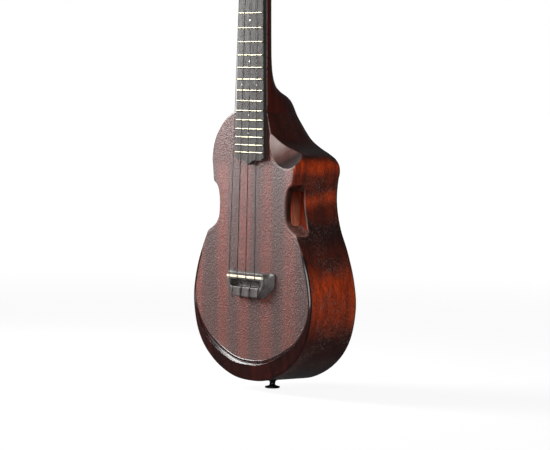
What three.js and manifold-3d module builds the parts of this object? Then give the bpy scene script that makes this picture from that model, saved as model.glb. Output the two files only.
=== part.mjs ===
// A concert ukulele with a scooped cutaway, a moulded lower rim, sound ports at the waist and four
// geared tuners. Millimetres. +Z runs from the strap button up to the headstock, +X to the treble
// side, where the cutaway is, and -Y out of the playing face. The origin is the centre of the strap
// button's end face. "Depth" below is measured from the playing face towards the back.

import * as THREE from "three";
import { mergeVertices } from "three/addons/utils/BufferGeometryUtils.js";
import Module from "manifold-3d";

const wasm = await Module();
wasm.setup();

// ---------- driving dimensions ----------

const SCALE_LENGTH = 381;
const SADDLE_Z = 116.5;
const NUT_Z = SADDLE_Z + SCALE_LENGTH;
const FRET_COUNT = 19;

const BODY_DEPTH = 61;
const FACE_Y = -BODY_DEPTH / 2;
const PLATE = 2.5; // thickness of the top and back plates
const RIB = 2.2; // thickness of the bent sides
const FIT = 0.1; // glue gap between neighbouring pieces
const BODY_TOP = 286.2; // where the heel meets the body, at the fourteenth fret
const HEEL_WIDTH = 45.6; // width of the heel at that seam

const LINING_WIDTH = 4.5;
const LINING_HEIGHT = 4.5;
const PORT_DEPTH = 17;

const NUT_WIDTH = 35.5;
const BOARD_TAPER = 0.0486; // fretboard width gained per millimetre below the nut
const BOARD_THICKNESS = 5.5;
const BOARD_RADIUS = 220;
const BOARD_END = 231; // tip of the fretboard's pointed end

const HEAD_TILT = THREE.MathUtils.degToRad(12);
const HEAD_THICKNESS = 11.5;
const HEAD_PLATE = 1.5;
const POST_X = 18.5;
const POST_LOW = 40; // distance of the lower pair of posts above the nut, along the headstock
const POST_HIGH = 82;

const STRING_HEIGHT = 12; // above the playing face, at the saddle
const NUT_SPREAD = 27;
const SADDLE_SPREAD = 43;

// ---------- helpers ----------

function solid(geometry) {
  const bare = geometry.index ? geometry.toNonIndexed() : geometry.clone();
  bare.deleteAttribute("normal");
  bare.deleteAttribute("uv");
  const merged = mergeVertices(bare, 1e-4);
  return new wasm.Manifold(
    new wasm.Mesh({
      numProp: 3,
      vertProperties: merged.attributes.position.array,
      triVerts: new Uint32Array(merged.index.array),
    }),
  );
}

function geometryOf(body) {
  const raw = body.getMesh();
  const geometry = new THREE.BufferGeometry();
  const vertices = new Float32Array(raw.vertProperties);
  geometry.setAttribute("position", new THREE.BufferAttribute(vertices, raw.numProp));
  geometry.setIndex(new THREE.BufferAttribute(new Uint32Array(raw.triVerts), 1));
  geometry.computeVertexNormals();
  return geometry;
}

function box(x0, x1, y0, y1, z0, z1) {
  const geometry = new THREE.BoxGeometry(x1 - x0, y1 - y0, z1 - z0);
  geometry.translate((x0 + x1) / 2, (y0 + y1) / 2, (z0 + z1) / 2);
  return solid(geometry);
}

// A rod along X, Y or Z between two places on that axis.
function rod(axis, radius, from, to, centre, sides) {
  const geometry = new THREE.CylinderGeometry(radius, radius, to - from, sides);
  if (axis === "x") geometry.rotateZ(Math.PI / 2);
  if (axis === "z") geometry.rotateX(Math.PI / 2);
  const middle = (from + to) / 2;
  const place = { x: [middle, 0, 0], y: [0, middle, 0], z: [0, 0, middle] }[axis];
  geometry.translate(place[0] + centre[0], place[1] + centre[1], place[2] + centre[2]);
  return solid(geometry);
}

function signedVolume(positions, triangles) {
  const corner = (i) => new THREE.Vector3().fromArray(positions, 3 * i);
  let sum = 0;
  for (let i = 0; i < triangles.length; i += 3) {
    const [a, b, c] = [0, 1, 2].map((k) => corner(triangles[i + k]));
    sum += a.dot(b.cross(c));
  }
  return sum;
}

// Indices of the triangles that fill a flat ring of points, all turned the same way.
function fillRing(ring) {
  const normal = new THREE.Vector3();
  ring.forEach((p, i) => normal.add(p.clone().cross(ring[(i + 1) % ring.length])));
  normal.normalize();
  const u = new THREE.Vector3(1, 0.3, 0.2).cross(normal).normalize();
  const v = normal.clone().cross(u);
  const flat = ring.map((p) => new THREE.Vector2(p.dot(u), p.dot(v)));
  const faces = THREE.ShapeUtils.triangulateShape(flat, []);
  return faces.map(([a, b, c]) => {
    const area = THREE.ShapeUtils.area([flat[a], flat[b], flat[c]]);
    return area > 0 ? [a, b, c] : [a, c, b];
  });
}

// A closed skin over a row of rings that have equally many points.
function loft(rings) {
  const count = rings[0].length;
  const positions = rings.flat().flatMap((p) => [p.x, p.y, p.z]);
  const triangles = [];
  for (let r = 0; r + 1 < rings.length; r++) {
    for (let i = 0; i < count; i++) {
      const j = (i + 1) % count;
      const [a, b] = [r * count + i, r * count + j];
      triangles.push(a, b, b + count, a, b + count, a + count);
    }
  }
  const last = (rings.length - 1) * count;
  fillRing(rings[0]).forEach(([a, b, c]) => triangles.push(a, c, b));
  fillRing(rings.at(-1)).forEach(([a, b, c]) => triangles.push(last + a, last + b, last + c));
  if (signedVolume(positions, triangles) < 0) triangles.reverse();
  const geometry = new THREE.BufferGeometry();
  geometry.setAttribute("position", new THREE.Float32BufferAttribute(positions, 3));
  geometry.setIndex(triangles);
  return solid(geometry);
}

// Points [x, z] at a depth below the playing face.
const ringAt = (loop, depth) => loop.map(([x, z]) => new THREE.Vector3(x, FACE_Y + depth, z));

const slab = (loop, from, to) => loft([ringAt(loop, from), ringAt(loop, to)]);

const mirrored = (loop) => loop.map(([x, z]) => [-x, z]).reverse();

// A smooth line through points [x, z], with a few points on each stretch.
function smooth(points, perStretch) {
  const through = points.map(([x, z]) => new THREE.Vector3(x, 0, z));
  const curve = new THREE.CatmullRomCurve3(through, false, "centripetal");
  return curve.getPoints((points.length - 1) * perStretch).map((p) => [p.x, p.z]);
}

// A closed loop [x, z] moved inwards by a distance, on mitred corners.
function inset(loop, distance) {
  const turn = Math.sign(THREE.ShapeUtils.area(loop.map(([x, z]) => new THREE.Vector2(x, z))));
  const edgeNormal = (a, b) => {
    const length = Math.hypot(b[0] - a[0], b[1] - a[1]);
    return [(-turn * (b[1] - a[1])) / length, (turn * (b[0] - a[0])) / length];
  };
  return loop.map((p, i) => {
    const before = edgeNormal(loop.at(i - 1), p);
    const after = edgeNormal(p, loop[(i + 1) % loop.length]);
    const [nx, nz] = [before[0] + after[0], before[1] + after[1]];
    const scale = (2 * distance) / (nx * nx + nz * nz);
    return [p[0] + nx * scale, p[1] + nz * scale];
  });
}

// The same, without the points that a tight corner throws back across the loop.
function insetWide(loop, distance) {
  const near = ([x, z]) =>
    Math.min(
      ...loop.map((a, i) => {
        const b = loop[(i + 1) % loop.length];
        const line = new THREE.Line3(new THREE.Vector3(...a, 0), new THREE.Vector3(...b, 0));
        const point = new THREE.Vector3(x, z, 0);
        return line.closestPointToPoint(point, true, new THREE.Vector3()).distanceTo(point);
      }),
    );
  return inset(loop, distance).filter((p) => near(p) > distance - 0.2);
}

const root = new THREE.Group();

function place(name, shape, material, parent = root) {
  const geometry = shape.isBufferGeometry ? shape : geometryOf(shape);
  const mesh = new THREE.Mesh(geometry, material);
  mesh.name = name;
  parent.add(mesh);
  return mesh;
}

const finish = (color, roughness, metalness = 0) =>
  new THREE.MeshStandardMaterial({ color, roughness, metalness });

const topWood = finish(0x7a4a44, 0.45);
const sideWood = finish(0x5c2013, 0.18);
const rimWood = finish(0x43140f, 0.12);
const innerWood = finish(0xa9714e, 0.7);
const spruce = finish(0xc9a777, 0.7);
const boardWood = finish(0x5d5653, 0.5);
const bone = finish(0xd8cfae, 0.35);
const nickel = finish(0xc9bfa2, 0.3, 1);
const nylon = finish(0x2b2624, 0.35);
const blackMetal = finish(0x0c0c0c, 0.25, 0.6);

// ---------- body outline ----------

// [half width, height] from the bottom seam up to the upper bout; both sides share it.
const HALF_OUTLINE = [
  [0, 9.5],
  [24, 11.2],
  [45, 17.5],
  [64, 27.5],
  [80.5, 41.5],
  [92, 60],
  [98.3, 90],
  [94.3, 117],
  [84, 144.5],
  [71, 170.5],
  [65.3, 196],
  [67.4, 218],
];

// The rest of the outline changes with depth, where the heel and the cutaway are carved:
// the cutaway from the heel round the horn, and the bass shoulder up to the heel.
const LEVELS = [
  {
    depth: 0,
    cutaway: [
      [22.8, BODY_TOP],
      [26.5, 274],
      [29.5, 264],
      [34, 256],
      [42.5, 250],
      [54, 246.6],
      [64.5, 243.2],
      [68.8, 238],
      [69.3, 228],
    ],
    shoulder: [
      [-69.4, 238],
      [-64.6, 257],
      [-54, 270.5],
      [-42.5, 279.6],
      [-32, 284.4],
      [-22.8, BODY_TOP],
    ],
  },
  {
    depth: 30,
    cutaway: [
      [18.6, BODY_TOP],
      [23, 274],
      [27.5, 264],
      [33, 255.8],
      [42, 249.6],
      [53.5, 245.6],
      [64.2, 241.2],
      [68.6, 235],
      [69.3, 226],
    ],
    shoulder: [
      [-69.4, 238],
      [-64.6, 257],
      [-54, 270.4],
      [-42.3, 279.4],
      [-30, 284.6],
      [-18.6, BODY_TOP],
    ],
  },
  {
    depth: 48,
    cutaway: [
      [9.3, BODY_TOP],
      [17, 274.5],
      [24, 264],
      [31, 255.5],
      [41, 249.5],
      [53, 245],
      [64, 240],
      [68.5, 233.5],
      [69.3, 225],
    ],
    shoulder: [
      [-69.4, 238],
      [-64.6, 257],
      [-53.8, 270],
      [-42, 278.6],
      [-28, 284],
      [-9.3, BODY_TOP],
    ],
  },
  {
    depth: BODY_DEPTH,
    cutaway: [
      [-2, 277.5],
      [4, 273],
      [13, 264.5],
      [23, 256.5],
      [38, 249.2],
      [52, 243.6],
      [63.5, 237.5],
      [68.4, 231.5],
      [69.3, 224],
    ],
    shoulder: [
      [-69.4, 238],
      [-64.2, 256],
      [-53, 268],
      [-40, 275],
      [-22, 278.6],
      [-6, 278.4],
    ],
  },
].map(({ depth, cutaway, shoulder }) => ({
  depth,
  loop: smooth(
    [
      ...cutaway,
      ...HALF_OUTLINE.slice(1).reverse(),
      ...HALF_OUTLINE.map(([x, z]) => [-x, z]),
      ...shoulder,
    ],
    2,
  ),
}));

// The body's outline at any depth below the playing face.
function outlineAt(depth) {
  const upper = LEVELS.findIndex((level) => level.depth >= depth);
  const [a, b] = [LEVELS[Math.max(upper - 1, 0)], LEVELS[upper]];
  const t = b.depth > a.depth ? (depth - a.depth) / (b.depth - a.depth) : 0;
  return a.loop.map(([x, z], i) => [
    THREE.MathUtils.lerp(x, b.loop[i][0], t),
    THREE.MathUtils.lerp(z, b.loop[i][1], t),
  ]);
}

// The body's full form between two depths, shrunk inwards by a margin.
function bodyForm(from, to, margin) {
  const between = LEVELS.map((level) => level.depth).filter((d) => d > from && d < to);
  const depths = [from, ...between, to];
  return loft(
    depths.map((depth) => {
      const inside = THREE.MathUtils.clamp(depth, 0, BODY_DEPTH);
      const outline = outlineAt(inside);
      return ringAt(margin ? inset(outline, margin) : outline, depth);
    }),
  );
}

// ---------- scoop and ports ----------

// The scoop is a bowl with the shape of a sphere whose centre stands above the playing face.
const SCOOP = { x: 55.8, z: 256.5, above: 11.4, radius: 30, wall: 3 };

function scoopBall(radius) {
  const geometry = new THREE.SphereGeometry(radius, 36, 24);
  geometry.rotateX(Math.PI / 2);
  geometry.translate(SCOOP.x, FACE_Y - SCOOP.above, SCOOP.z);
  return solid(geometry);
}

// The edge of a port in the playing face, from the upper bout down to the lower bout.
const PORT_EDGE = [
  [76, 213],
  [65, 211.2],
  [59.8, 207],
  [56.9, 199],
  [56, 187],
  [57.4, 175.5],
  [62, 169],
  [69, 164.2],
  [79, 160],
];
const PORT_OUTSIDE = 95;
const PORT_MOUTH = { x0: 40, x1: 61, z0: 171, z1: 206 }; // the way from a port into the body

// The region beyond a port's edge, with the edge moved into the body by a margin.
function portLoop(margin) {
  const edge = smooth(PORT_EDGE, 2);
  const closed = [
    ...edge,
    [PORT_OUTSIDE, PORT_EDGE.at(-1)[1]],
    [PORT_OUTSIDE, PORT_EDGE[0][1]],
  ];
  return margin ? inset(closed, -margin) : closed;
}

const sideOf = (side, loop) => (side > 0 ? loop : mirrored(loop));

// ---------- body pieces ----------

const ports = [-1, 1].map((side) => slab(sideOf(side, portLoop(0)), -5, PORT_DEPTH));
const bowlCut = scoopBall(SCOOP.radius + SCOOP.wall + FIT);
const SCREW_RADIUS = 1.5;
const screwHole = rod("z", SCREW_RADIUS + 0.4, 0, 40, [0, 0, 0], 12);

const soundboard = bodyForm(0, PLATE, 0).subtract(ports[0]).subtract(ports[1]).subtract(bowlCut);
place("soundboard", soundboard, topWood);
place("back_plate", bodyForm(BODY_DEPTH - PLATE, BODY_DEPTH, 0), sideWood);

const sideRing = bodyForm(PLATE, BODY_DEPTH - PLATE, 0)
  .subtract(bodyForm(0, BODY_DEPTH, RIB))
  .subtract(bowlCut)
  .subtract(ports[0])
  .subtract(ports[1])
  .subtract(screwHole);
const half = (side) => box(side > 0 ? 0.05 : -120, side > 0 ? 120 : -0.05, -60, 60, -10, 320);
place("rib_bass", sideRing.intersect(half(-1)), sideWood);
place("rib_treble", sideRing.intersect(half(1)), sideWood);

const bowl = scoopBall(SCOOP.radius + SCOOP.wall)
  .subtract(scoopBall(SCOOP.radius))
  .intersect(bodyForm(0, 40, 0));
place("cutaway_scoop", bowl, sideWood);

const INNER = RIB + 0.2;
const UNDER_TOP = FACE_Y + PLATE + FIT;
const OVER_BACK = -UNDER_TOP;
const betweenPlates = box(-120, 120, UNDER_TOP, OVER_BACK, 0, 300);
const innerForm = bodyForm(0, BODY_DEPTH, INNER).intersect(betweenPlates);
const blockForm = innerForm.subtract(scoopBall(SCOOP.radius + SCOOP.wall + 0.4));
place("neck_block", blockForm.intersect(box(-24, 24, -60, 60, 258, 300)), innerWood);
const tailBlock = innerForm.intersect(box(-22, 22, -60, 60, 0, 25)).subtract(screwHole);
place("tail_block", tailBlock, innerWood);

// The top linings follow the rib and then turn in round the port, where they form its frame:
// a deep sill below the opening and a deep lintel above it.
const BLOCK_CLEAR = 24.5; // half width kept free for the neck and tail blocks
const SCOOP_CLEAR = 226; // the treble lining stops below the scoop

function topLining(side) {
  const outline = outlineAt(PLATE);
  const [from, to] = [PLATE + FIT, PLATE + FIT + LINING_HEIGHT];
  const strip = slab(inset(outline, INNER), from, to).subtract(
    slab(insetWide(outline, INNER + LINING_WIDTH), from - 1, to + 1),
  );
  const frame = slab(sideOf(side, portLoop(LINING_WIDTH)), from, PORT_DEPTH);
  const reach = side > 0 ? [BLOCK_CLEAR, 120] : [-120, -BLOCK_CLEAR];
  const { x0, x1, z0, z1 } = PORT_MOUTH;
  const mouth = side > 0 ? [x0, x1] : [-x1, -x0];
  const top = side > 0 ? SCOOP_CLEAR : 300;
  return strip
    .add(frame)
    .subtract(ports[side > 0 ? 1 : 0])
    .subtract(box(...mouth, FACE_Y + to, 0, z0, z1))
    .intersect(innerForm)
    .intersect(box(...reach, -60, 60, 0, top));
}

function backLining(side) {
  const outline = outlineAt(BODY_DEPTH - PLATE);
  const to = BODY_DEPTH - PLATE - FIT;
  const from = to - LINING_HEIGHT;
  const reach = side > 0 ? [BLOCK_CLEAR, 120] : [-120, -BLOCK_CLEAR];
  return slab(inset(outline, INNER), from, to)
    .subtract(slab(insetWide(outline, INNER + LINING_WIDTH), from - 1, to + 1))
    .intersect(box(...reach, -60, 60, 0, 300));
}

for (const [name, side] of [
  ["bass", -1],
  ["treble", 1],
]) {
  place(`lining_top_${name}`, topLining(side), innerWood);
  place(`lining_back_${name}`, backLining(side), innerWood);
}

place("bridge_plate", box(-45, 45, UNDER_TOP, UNDER_TOP + 2.5, 96, 124), innerWood);

// A brace is a bar with scalloped ends, glued to a plate on its wide edge.
function brace(name, halfLength, z, plateY, height, width) {
  const tip = plateY + height * 0.3;
  const crest = plateY + height;
  const profile = [
    [-halfLength, plateY],
    [halfLength, plateY],
    [halfLength, tip],
    [halfLength - 18, crest],
    [18 - halfLength, crest],
    [-halfLength, tip],
  ];
  const rings = [z - width / 2, z + width / 2].map((at) =>
    profile.map(([x, y]) => new THREE.Vector3(x, y, at)),
  );
  place(name, loft(rings), spruce);
}

brace("top_brace", 56, 222, UNDER_TOP, 8, 6);
brace("back_brace_upper", 60, 222, OVER_BACK, -9, 8);
brace("back_brace_lower", 86, 108, OVER_BACK, -9, 8);

// ---------- moulded rim round the lower bout ----------

// The rim stands on the playing face. It is widest and highest at the bottom and fades out
// up both sides, where it follows the outline.
const RIM_TOP = 128;

function rimRings() {
  const along = outlineAt(0).filter(([, z]) => z < RIM_TOP);
  return along.map((p, i) => {
    const before = along[Math.max(i - 1, 0)];
    const after = along[Math.min(i + 1, along.length - 1)];
    const length = Math.hypot(after[0] - before[0], after[1] - before[1]);
    const inward = [(after[1] - before[1]) / length, -(after[0] - before[0]) / length];
    const fade = THREE.MathUtils.smoothstep(RIM_TOP - p[1], 8, RIM_TOP - 20);
    const ridge = 2 + 14.5 * fade;
    const rise = 0.5 + 2.9 * fade;
    const foot = ridge + 1.2 + 4.3 * fade;
    const profile = [
      [0.1, -0.05],
      [0.1, -0.4],
      [1.2, -0.7],
      [ridge - 0.9, -rise],
      [ridge + 0.3, -rise],
      [(ridge + foot) / 2, -rise * 0.4],
      [foot, -0.15],
      [foot, -0.05],
    ];
    return profile.map(
      ([inner, depth]) =>
        new THREE.Vector3(p[0] + inward[0] * inner, FACE_Y + depth, p[1] + inward[1] * inner),
    );
  });
}
place("lower_rim", loft(rimRings()), rimWood);

// ---------- neck ----------

const boardWidth = (z) => NUT_WIDTH + BOARD_TAPER * (NUT_Z - z);

// [height, depth behind the playing face] of the heel, the neck's back and the thickening behind
// the nut. The last section, with a front depth of its own, runs down inside the headstock.
const NECK_PROFILE = [
  [BODY_TOP + FIT, 52.5],
  [292.5, 48.9],
  [297, 45.5],
  [301.5, 39.5],
  [305.5, 31.5],
  [311.5, 23.6],
  [322, 18.5],
  [338, 16],
  [357, 15.4],
  [430, 14.8],
  [NUT_Z - 12, 14.6],
  [NUT_Z, 16],
  [NUT_Z + 4.7, 15.5],
  [NUT_Z + 12, 12.6, 6],
];

function neckRing([z, depth, front = 0]) {
  const halfWidth = Math.min(boardWidth(z), HEEL_WIDTH) / 2;
  const steps = 14;
  return Array.from({ length: steps + 1 }, (_, i) => {
    const angle = (Math.PI * i) / steps;
    const y = FACE_Y + front + (depth - front) * Math.sin(angle);
    return new THREE.Vector3(-halfWidth * Math.cos(angle), y, z);
  });
}

// The headstock, in its own frame: its origin is on the nut line at the playing face's level,
// Z runs along the tilted head and -Y out of its face.
const head = new THREE.Group();
head.position.set(0, FACE_Y, NUT_Z);
head.rotation.x = -HEAD_TILT;
root.add(head);
head.updateMatrix();

const headHalf = smooth(
  [
    [17.2, 0],
    [18.6, 12],
    [25, 23],
    [29, 34],
    [28, 62],
    [27, 92],
    [28.5, 108],
    [22, 116.5],
    [9, 118],
    [0, 121.5],
  ],
  2,
);
const headLoop = [...headHalf, ...mirrored(headHalf).slice(1)];

function headSlab(loop, y0, y1) {
  return loft([y0, y1].map((y) => loop.map(([x, z]) => new THREE.Vector3(x, y, z))));
}

const POSTS = [
  { name: "g", side: -1, z: POST_LOW, slot: -0.5 },
  { name: "c", side: -1, z: POST_HIGH, slot: -1 / 6 },
  { name: "e", side: 1, z: POST_HIGH, slot: 1 / 6 },
  { name: "a", side: 1, z: POST_LOW, slot: 0.5 },
];
const POST_HOLE = 4.3;
const postHoles = POSTS.map((post) =>
  rod("y", POST_HOLE, -5, 20, [post.side * POST_X, 0, post.z], 16),
);

const headPlateLoop = headLoop.filter(([, z]) => z > 8);
let headPlate = headSlab(headPlateLoop, -HEAD_PLATE - FIT, -FIT);
let headWood = geometryOf(headSlab(headLoop, 0, HEAD_THICKNESS));
postHoles.forEach((hole) => {
  headPlate = headPlate.subtract(hole);
});
headWood.applyMatrix4(head.matrix);
let neck = loft(NECK_PROFILE.map(neckRing)).add(solid(headWood));
postHoles.forEach((hole) => {
  neck = neck.subtract(solid(geometryOf(hole).applyMatrix4(head.matrix)));
});
neck = neck.subtract(box(-30, 30, -80, FACE_Y, BODY_TOP, NUT_Z + 5));
place("neck", neck, sideWood);
place("head_plate", headPlate, boardWood, head);

// ---------- fretboard, nut and frets ----------

const BOARD_BASE = FACE_Y - 0.05;
const CROWN_STEPS = 4;

// Across the board from bass to treble: [share of the half width, height lost to the crown].
function crown(halfWidth) {
  return Array.from({ length: CROWN_STEPS + 1 }, (_, i) => {
    const x = halfWidth * ((2 * i) / CROWN_STEPS - 1);
    return [x, (x * x) / (2 * BOARD_RADIUS)];
  });
}

const BOARD_TOP = FACE_Y - BOARD_THICKNESS;
const boardRings = [BOARD_END - 2, NUT_Z].map((z) => {
  const halfWidth = boardWidth(z) / 2;
  const top = crown(halfWidth).map(([x, drop]) => new THREE.Vector3(x, BOARD_TOP + drop, z));
  return [
    ...top,
    new THREE.Vector3(halfWidth, BOARD_BASE, z),
    new THREE.Vector3(-halfWidth, BOARD_BASE, z),
  ];
});

// The end is a pointed bracket: a tip in the middle between two hollows and square shoulders.
const endHalf = smooth(
  [
    [0, BOARD_END],
    [5, 234.6],
    [12, 236.3],
    [18, 235.6],
    [22, 238],
    [28, 238.6],
  ],
  2,
);
const endCut = [...mirrored(endHalf), ...endHalf.slice(1), [28, 220], [-28, 220]];
place("fretboard", loft(boardRings).subtract(slab(endCut, -20, 5)), boardWood);

const FRET_HEIGHT = 1.1;
for (let n = 1; n <= FRET_COUNT; n++) {
  const z = SADDLE_Z + SCALE_LENGTH * 2 ** (-n / 12);
  const rings = crown(boardWidth(z) / 2 - 0.15).map(([x, drop]) => {
    const base = BOARD_TOP + drop - 0.05;
    return [
      new THREE.Vector3(x, base, z - 1.15),
      new THREE.Vector3(x, base - FRET_HEIGHT, z - 0.4),
      new THREE.Vector3(x, base - FRET_HEIGHT, z + 0.4),
      new THREE.Vector3(x, base, z + 1.15),
    ];
  });
  place(`fret_${String(n).padStart(2, "0")}`, loft(rings), nickel);
}

const stringX = (slot, spread) => slot * spread;
const NUT_TOP = BOARD_TOP - 1.9;
const NUT_THICKNESS = 4.6;
let nut = box(-17.6, 17.6, NUT_TOP, FACE_Y - 0.05, NUT_Z + 0.1, NUT_Z + 0.1 + NUT_THICKNESS);
POSTS.forEach(({ slot }) => {
  const x = stringX(slot, NUT_SPREAD);
  nut = nut.subtract(box(x - 0.6, x + 0.6, NUT_TOP - 1, NUT_TOP + 0.8, NUT_Z, NUT_Z + 6));
});
place("nut", nut, bone);

// ---------- bridge and saddle ----------

const BRIDGE_HEIGHT = 9;
const TIE_BLOCK = { front: -8.6, back: -20 };
const bridgeFoot = [
  [-42, 5],
  [42, 5],
  [40.5, -9.5],
  [23, -21.5],
  [-23, -21.5],
  [-40.5, -9.5],
];
const bridgeCrest = [
  [-32, 4.4],
  [32, 4.4],
  [32, -7.5],
  [19.5, -20.4],
  [-19.5, -20.4],
  [-32, -7.5],
];
const fromSaddle = (loop) => loop.map(([x, z]) => [x, SADDLE_Z + z]);
const SLOT_DEPTH = 4;
const BRIDGE_TOP = FACE_Y - BRIDGE_HEIGHT;
let bridge = loft([
  ringAt(fromSaddle(bridgeFoot), -0.05),
  ringAt(fromSaddle(bridgeFoot), -1.6),
  ringAt(fromSaddle(bridgeCrest), -BRIDGE_HEIGHT),
]);
const bridgeCuts = [
  box(-31.3, 31.3, BRIDGE_TOP - 5, BRIDGE_TOP + SLOT_DEPTH, SADDLE_Z - 1.5, SADDLE_Z + 1.5),
  box(-27, 27, BRIDGE_TOP - 5, FACE_Y - 2.6, SADDLE_Z + TIE_BLOCK.front, SADDLE_Z - 3.4),
];
const TIE_HOLE_Y = FACE_Y - 4.6;
POSTS.forEach(({ slot }) => {
  const x = stringX(slot, SADDLE_SPREAD);
  bridgeCuts.push(rod("z", 1.1, SADDLE_Z - 24, SADDLE_Z - 6, [x, TIE_HOLE_Y, 0], 8));
});
bridgeCuts.forEach((cut) => {
  bridge = bridge.subtract(cut);
});
place("bridge", bridge, boardWood);

const SADDLE_TOP = FACE_Y - STRING_HEIGHT + 0.4;
const saddleRings = [-1.3, 1.3].map((at) =>
  [
    [-31, BRIDGE_TOP + SLOT_DEPTH - FIT],
    [31, BRIDGE_TOP + SLOT_DEPTH - FIT],
    [31, SADDLE_TOP + 0.9],
    [16, SADDLE_TOP + 0.3],
    [0, SADDLE_TOP],
    [-16, SADDLE_TOP + 0.3],
    [-31, SADDLE_TOP + 0.9],
  ].map(([x, y]) => new THREE.Vector3(x, y, SADDLE_Z + at)),
);
place("saddle", loft(saddleRings), bone);

// ---------- strings ----------

// A smooth line that is stepped from one listed point to the next, however far apart they are.
class Route extends THREE.CatmullRomCurve3 {
  getPointAt(u, target) {
    return this.getPoint(u, target);
  }
  getTangentAt(u, target) {
    return this.getTangent(u, target);
  }
}

const WRAP_RADIUS = 3.3;
const WRAP_TURNS = 1.75;
const WRAP_STEPS = 14;

// The string's wraps on its post, in the headstock's frame.
function wrapPoint(post, i) {
  const start = post.side < 0 ? 0 : Math.PI;
  const angle = start - (post.side * WRAP_TURNS * 2 * Math.PI * i) / WRAP_STEPS;
  const x = post.side * POST_X + WRAP_RADIUS * Math.cos(angle);
  const y = -HEAD_PLATE - 5.6 + (2.6 * i) / WRAP_STEPS;
  return new THREE.Vector3(x, y, post.z + WRAP_RADIUS * Math.sin(angle));
}

const STRING_DIAMETER = { g: 0.62, c: 0.95, e: 0.82, a: 0.7 };

POSTS.forEach((post) => {
  const radius = STRING_DIAMETER[post.name] / 2;
  const low = stringX(post.slot, SADDLE_SPREAD);
  const high = stringX(post.slot, NUT_SPREAD);
  const saddleDrop = 0.9 * (low / 31) ** 2;
  const overSaddle = SADDLE_TOP + saddleDrop - radius - 0.08;
  const overNut = NUT_TOP + 0.8 - radius - 0.08;
  const back = SADDLE_Z + TIE_BLOCK.back;
  const front = SADDLE_Z + TIE_BLOCK.front;
  const overBlock = BRIDGE_TOP - radius - 0.15;
  const tail = [
    [low + 1.5, overBlock, front - 0.4],
    [low + 1.4, overBlock - 0.1, front - 3],
    [low + 1, overBlock - 0.1, back + 2],
    [low + 0.7, overBlock, back - 0.8],
    [low + 0.4, overBlock + 1, back - 2.8],
    [low + 0.2, TIE_HOLE_Y - 1, back - 4],
    [low, TIE_HOLE_Y, back - 3],
    [low, TIE_HOLE_Y, back + 3],
    [low, TIE_HOLE_Y, front],
    [low, (TIE_HOLE_Y + overSaddle) / 2 - 0.6, SADDLE_Z - 4],
    [low, overSaddle + 0.25, SADDLE_Z - 1.5],
    [low, overSaddle, SADDLE_Z],
    [low, overSaddle, SADDLE_Z + 1.6],
  ].map((p) => new THREE.Vector3(...p));
  const speaking = [0.25, 0.5, 0.75].map(
    (t) =>
      new THREE.Vector3(
        THREE.MathUtils.lerp(low, high, t),
        THREE.MathUtils.lerp(overSaddle, overNut, t),
        THREE.MathUtils.lerp(SADDLE_Z, NUT_Z, t),
      ),
  );
  const nutEnd = new THREE.Vector3(high, overNut + 0.1, NUT_Z + NUT_THICKNESS + 0.4);
  const wraps = Array.from({ length: WRAP_STEPS + 1 }, (_, i) => wrapPoint(post, i));
  const lead = head.worldToLocal(nutEnd.clone()).lerp(wraps[0], 0.93);
  const headPoints = [lead, ...wraps].map((p) => p.applyMatrix4(head.matrix));
  const route = new Route(
    [...tail, ...speaking, new THREE.Vector3(high, overNut, NUT_Z), nutEnd, ...headPoints],
    false,
    "centripetal",
  );
  const outline = new THREE.Shape(
    Array.from({ length: 6 }, (_, i) => {
      const angle = (i * Math.PI) / 3;
      return new THREE.Vector2(radius * Math.cos(angle), radius * Math.sin(angle));
    }),
  );
  const steps = route.points.length - 1;
  const tube = new THREE.ExtrudeGeometry(outline, { steps, extrudePath: route });
  place(`string_${post.name}`, solid(tube), nylon);
});

// ---------- tuners ----------

const BACK_OF_HEAD = HEAD_THICKNESS;
const GEAR_Y = BACK_OF_HEAD + 4.8; // level of the worm's axis and of the middle of the gear
const WORM_OFFSET = 7.1; // centre distance of worm and gear
const GEAR_RADIUS = 4.4;
const WORM_RADIUS = 2.3;

// A closed turned profile of [radius, place along the axis], about +Y.
function turned(profile, sides) {
  return solid(
    new THREE.LatheGeometry(
      profile.map(([r, y]) => new THREE.Vector2(r, y)),
      sides,
    ),
  );
}

function tunerHousing(side) {
  const front = BACK_OF_HEAD + 0.3;
  return box(-7.5, 7.5, front, front + 9, -6.2, 12.4)
    .subtract(box(-6, 6, front - 1, front + 7.6, -4.9, 10.6))
    .subtract(rod("x", 2.2, -4, 4, [side * 8, GEAR_Y, WORM_OFFSET], 12));
}

function tunerPost() {
  const tip = -HEAD_PLATE - 8.6;
  return turned(
    [
      [0, tip],
      [2.7, tip],
      [3.1, tip + 0.5],
      [3.1, tip + 2],
      [2.5, tip + 2.8],
      [2.5, tip + 6],
      [3.1, tip + 6.8],
      [3.1, GEAR_Y - 2.2],
      [GEAR_RADIUS, GEAR_Y - 2.2],
      [GEAR_RADIUS, GEAR_Y + 2.2],
      [0, GEAR_Y + 2.2],
    ],
    12,
  );
}

// The key lies along the worm's axis; its button stands outside the headstock's edge.
function tunerKey(side) {
  const shaft = turned(
    [
      [0, -5.4],
      [WORM_RADIUS, -5.4],
      [WORM_RADIUS, 5],
      [1.8, 5],
      [1.8, 13],
      [3, 13.4],
      [3, 17],
      [0, 17],
    ],
    10,
  );
  const button = new THREE.SphereGeometry(1, 10, 8);
  button.scale(4.2, 7.4, 8.6);
  button.translate(0, 21.2, 0);
  const key = geometryOf(shaft.add(solid(button)));
  key.rotateZ((-side * Math.PI) / 2);
  return key;
}

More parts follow.
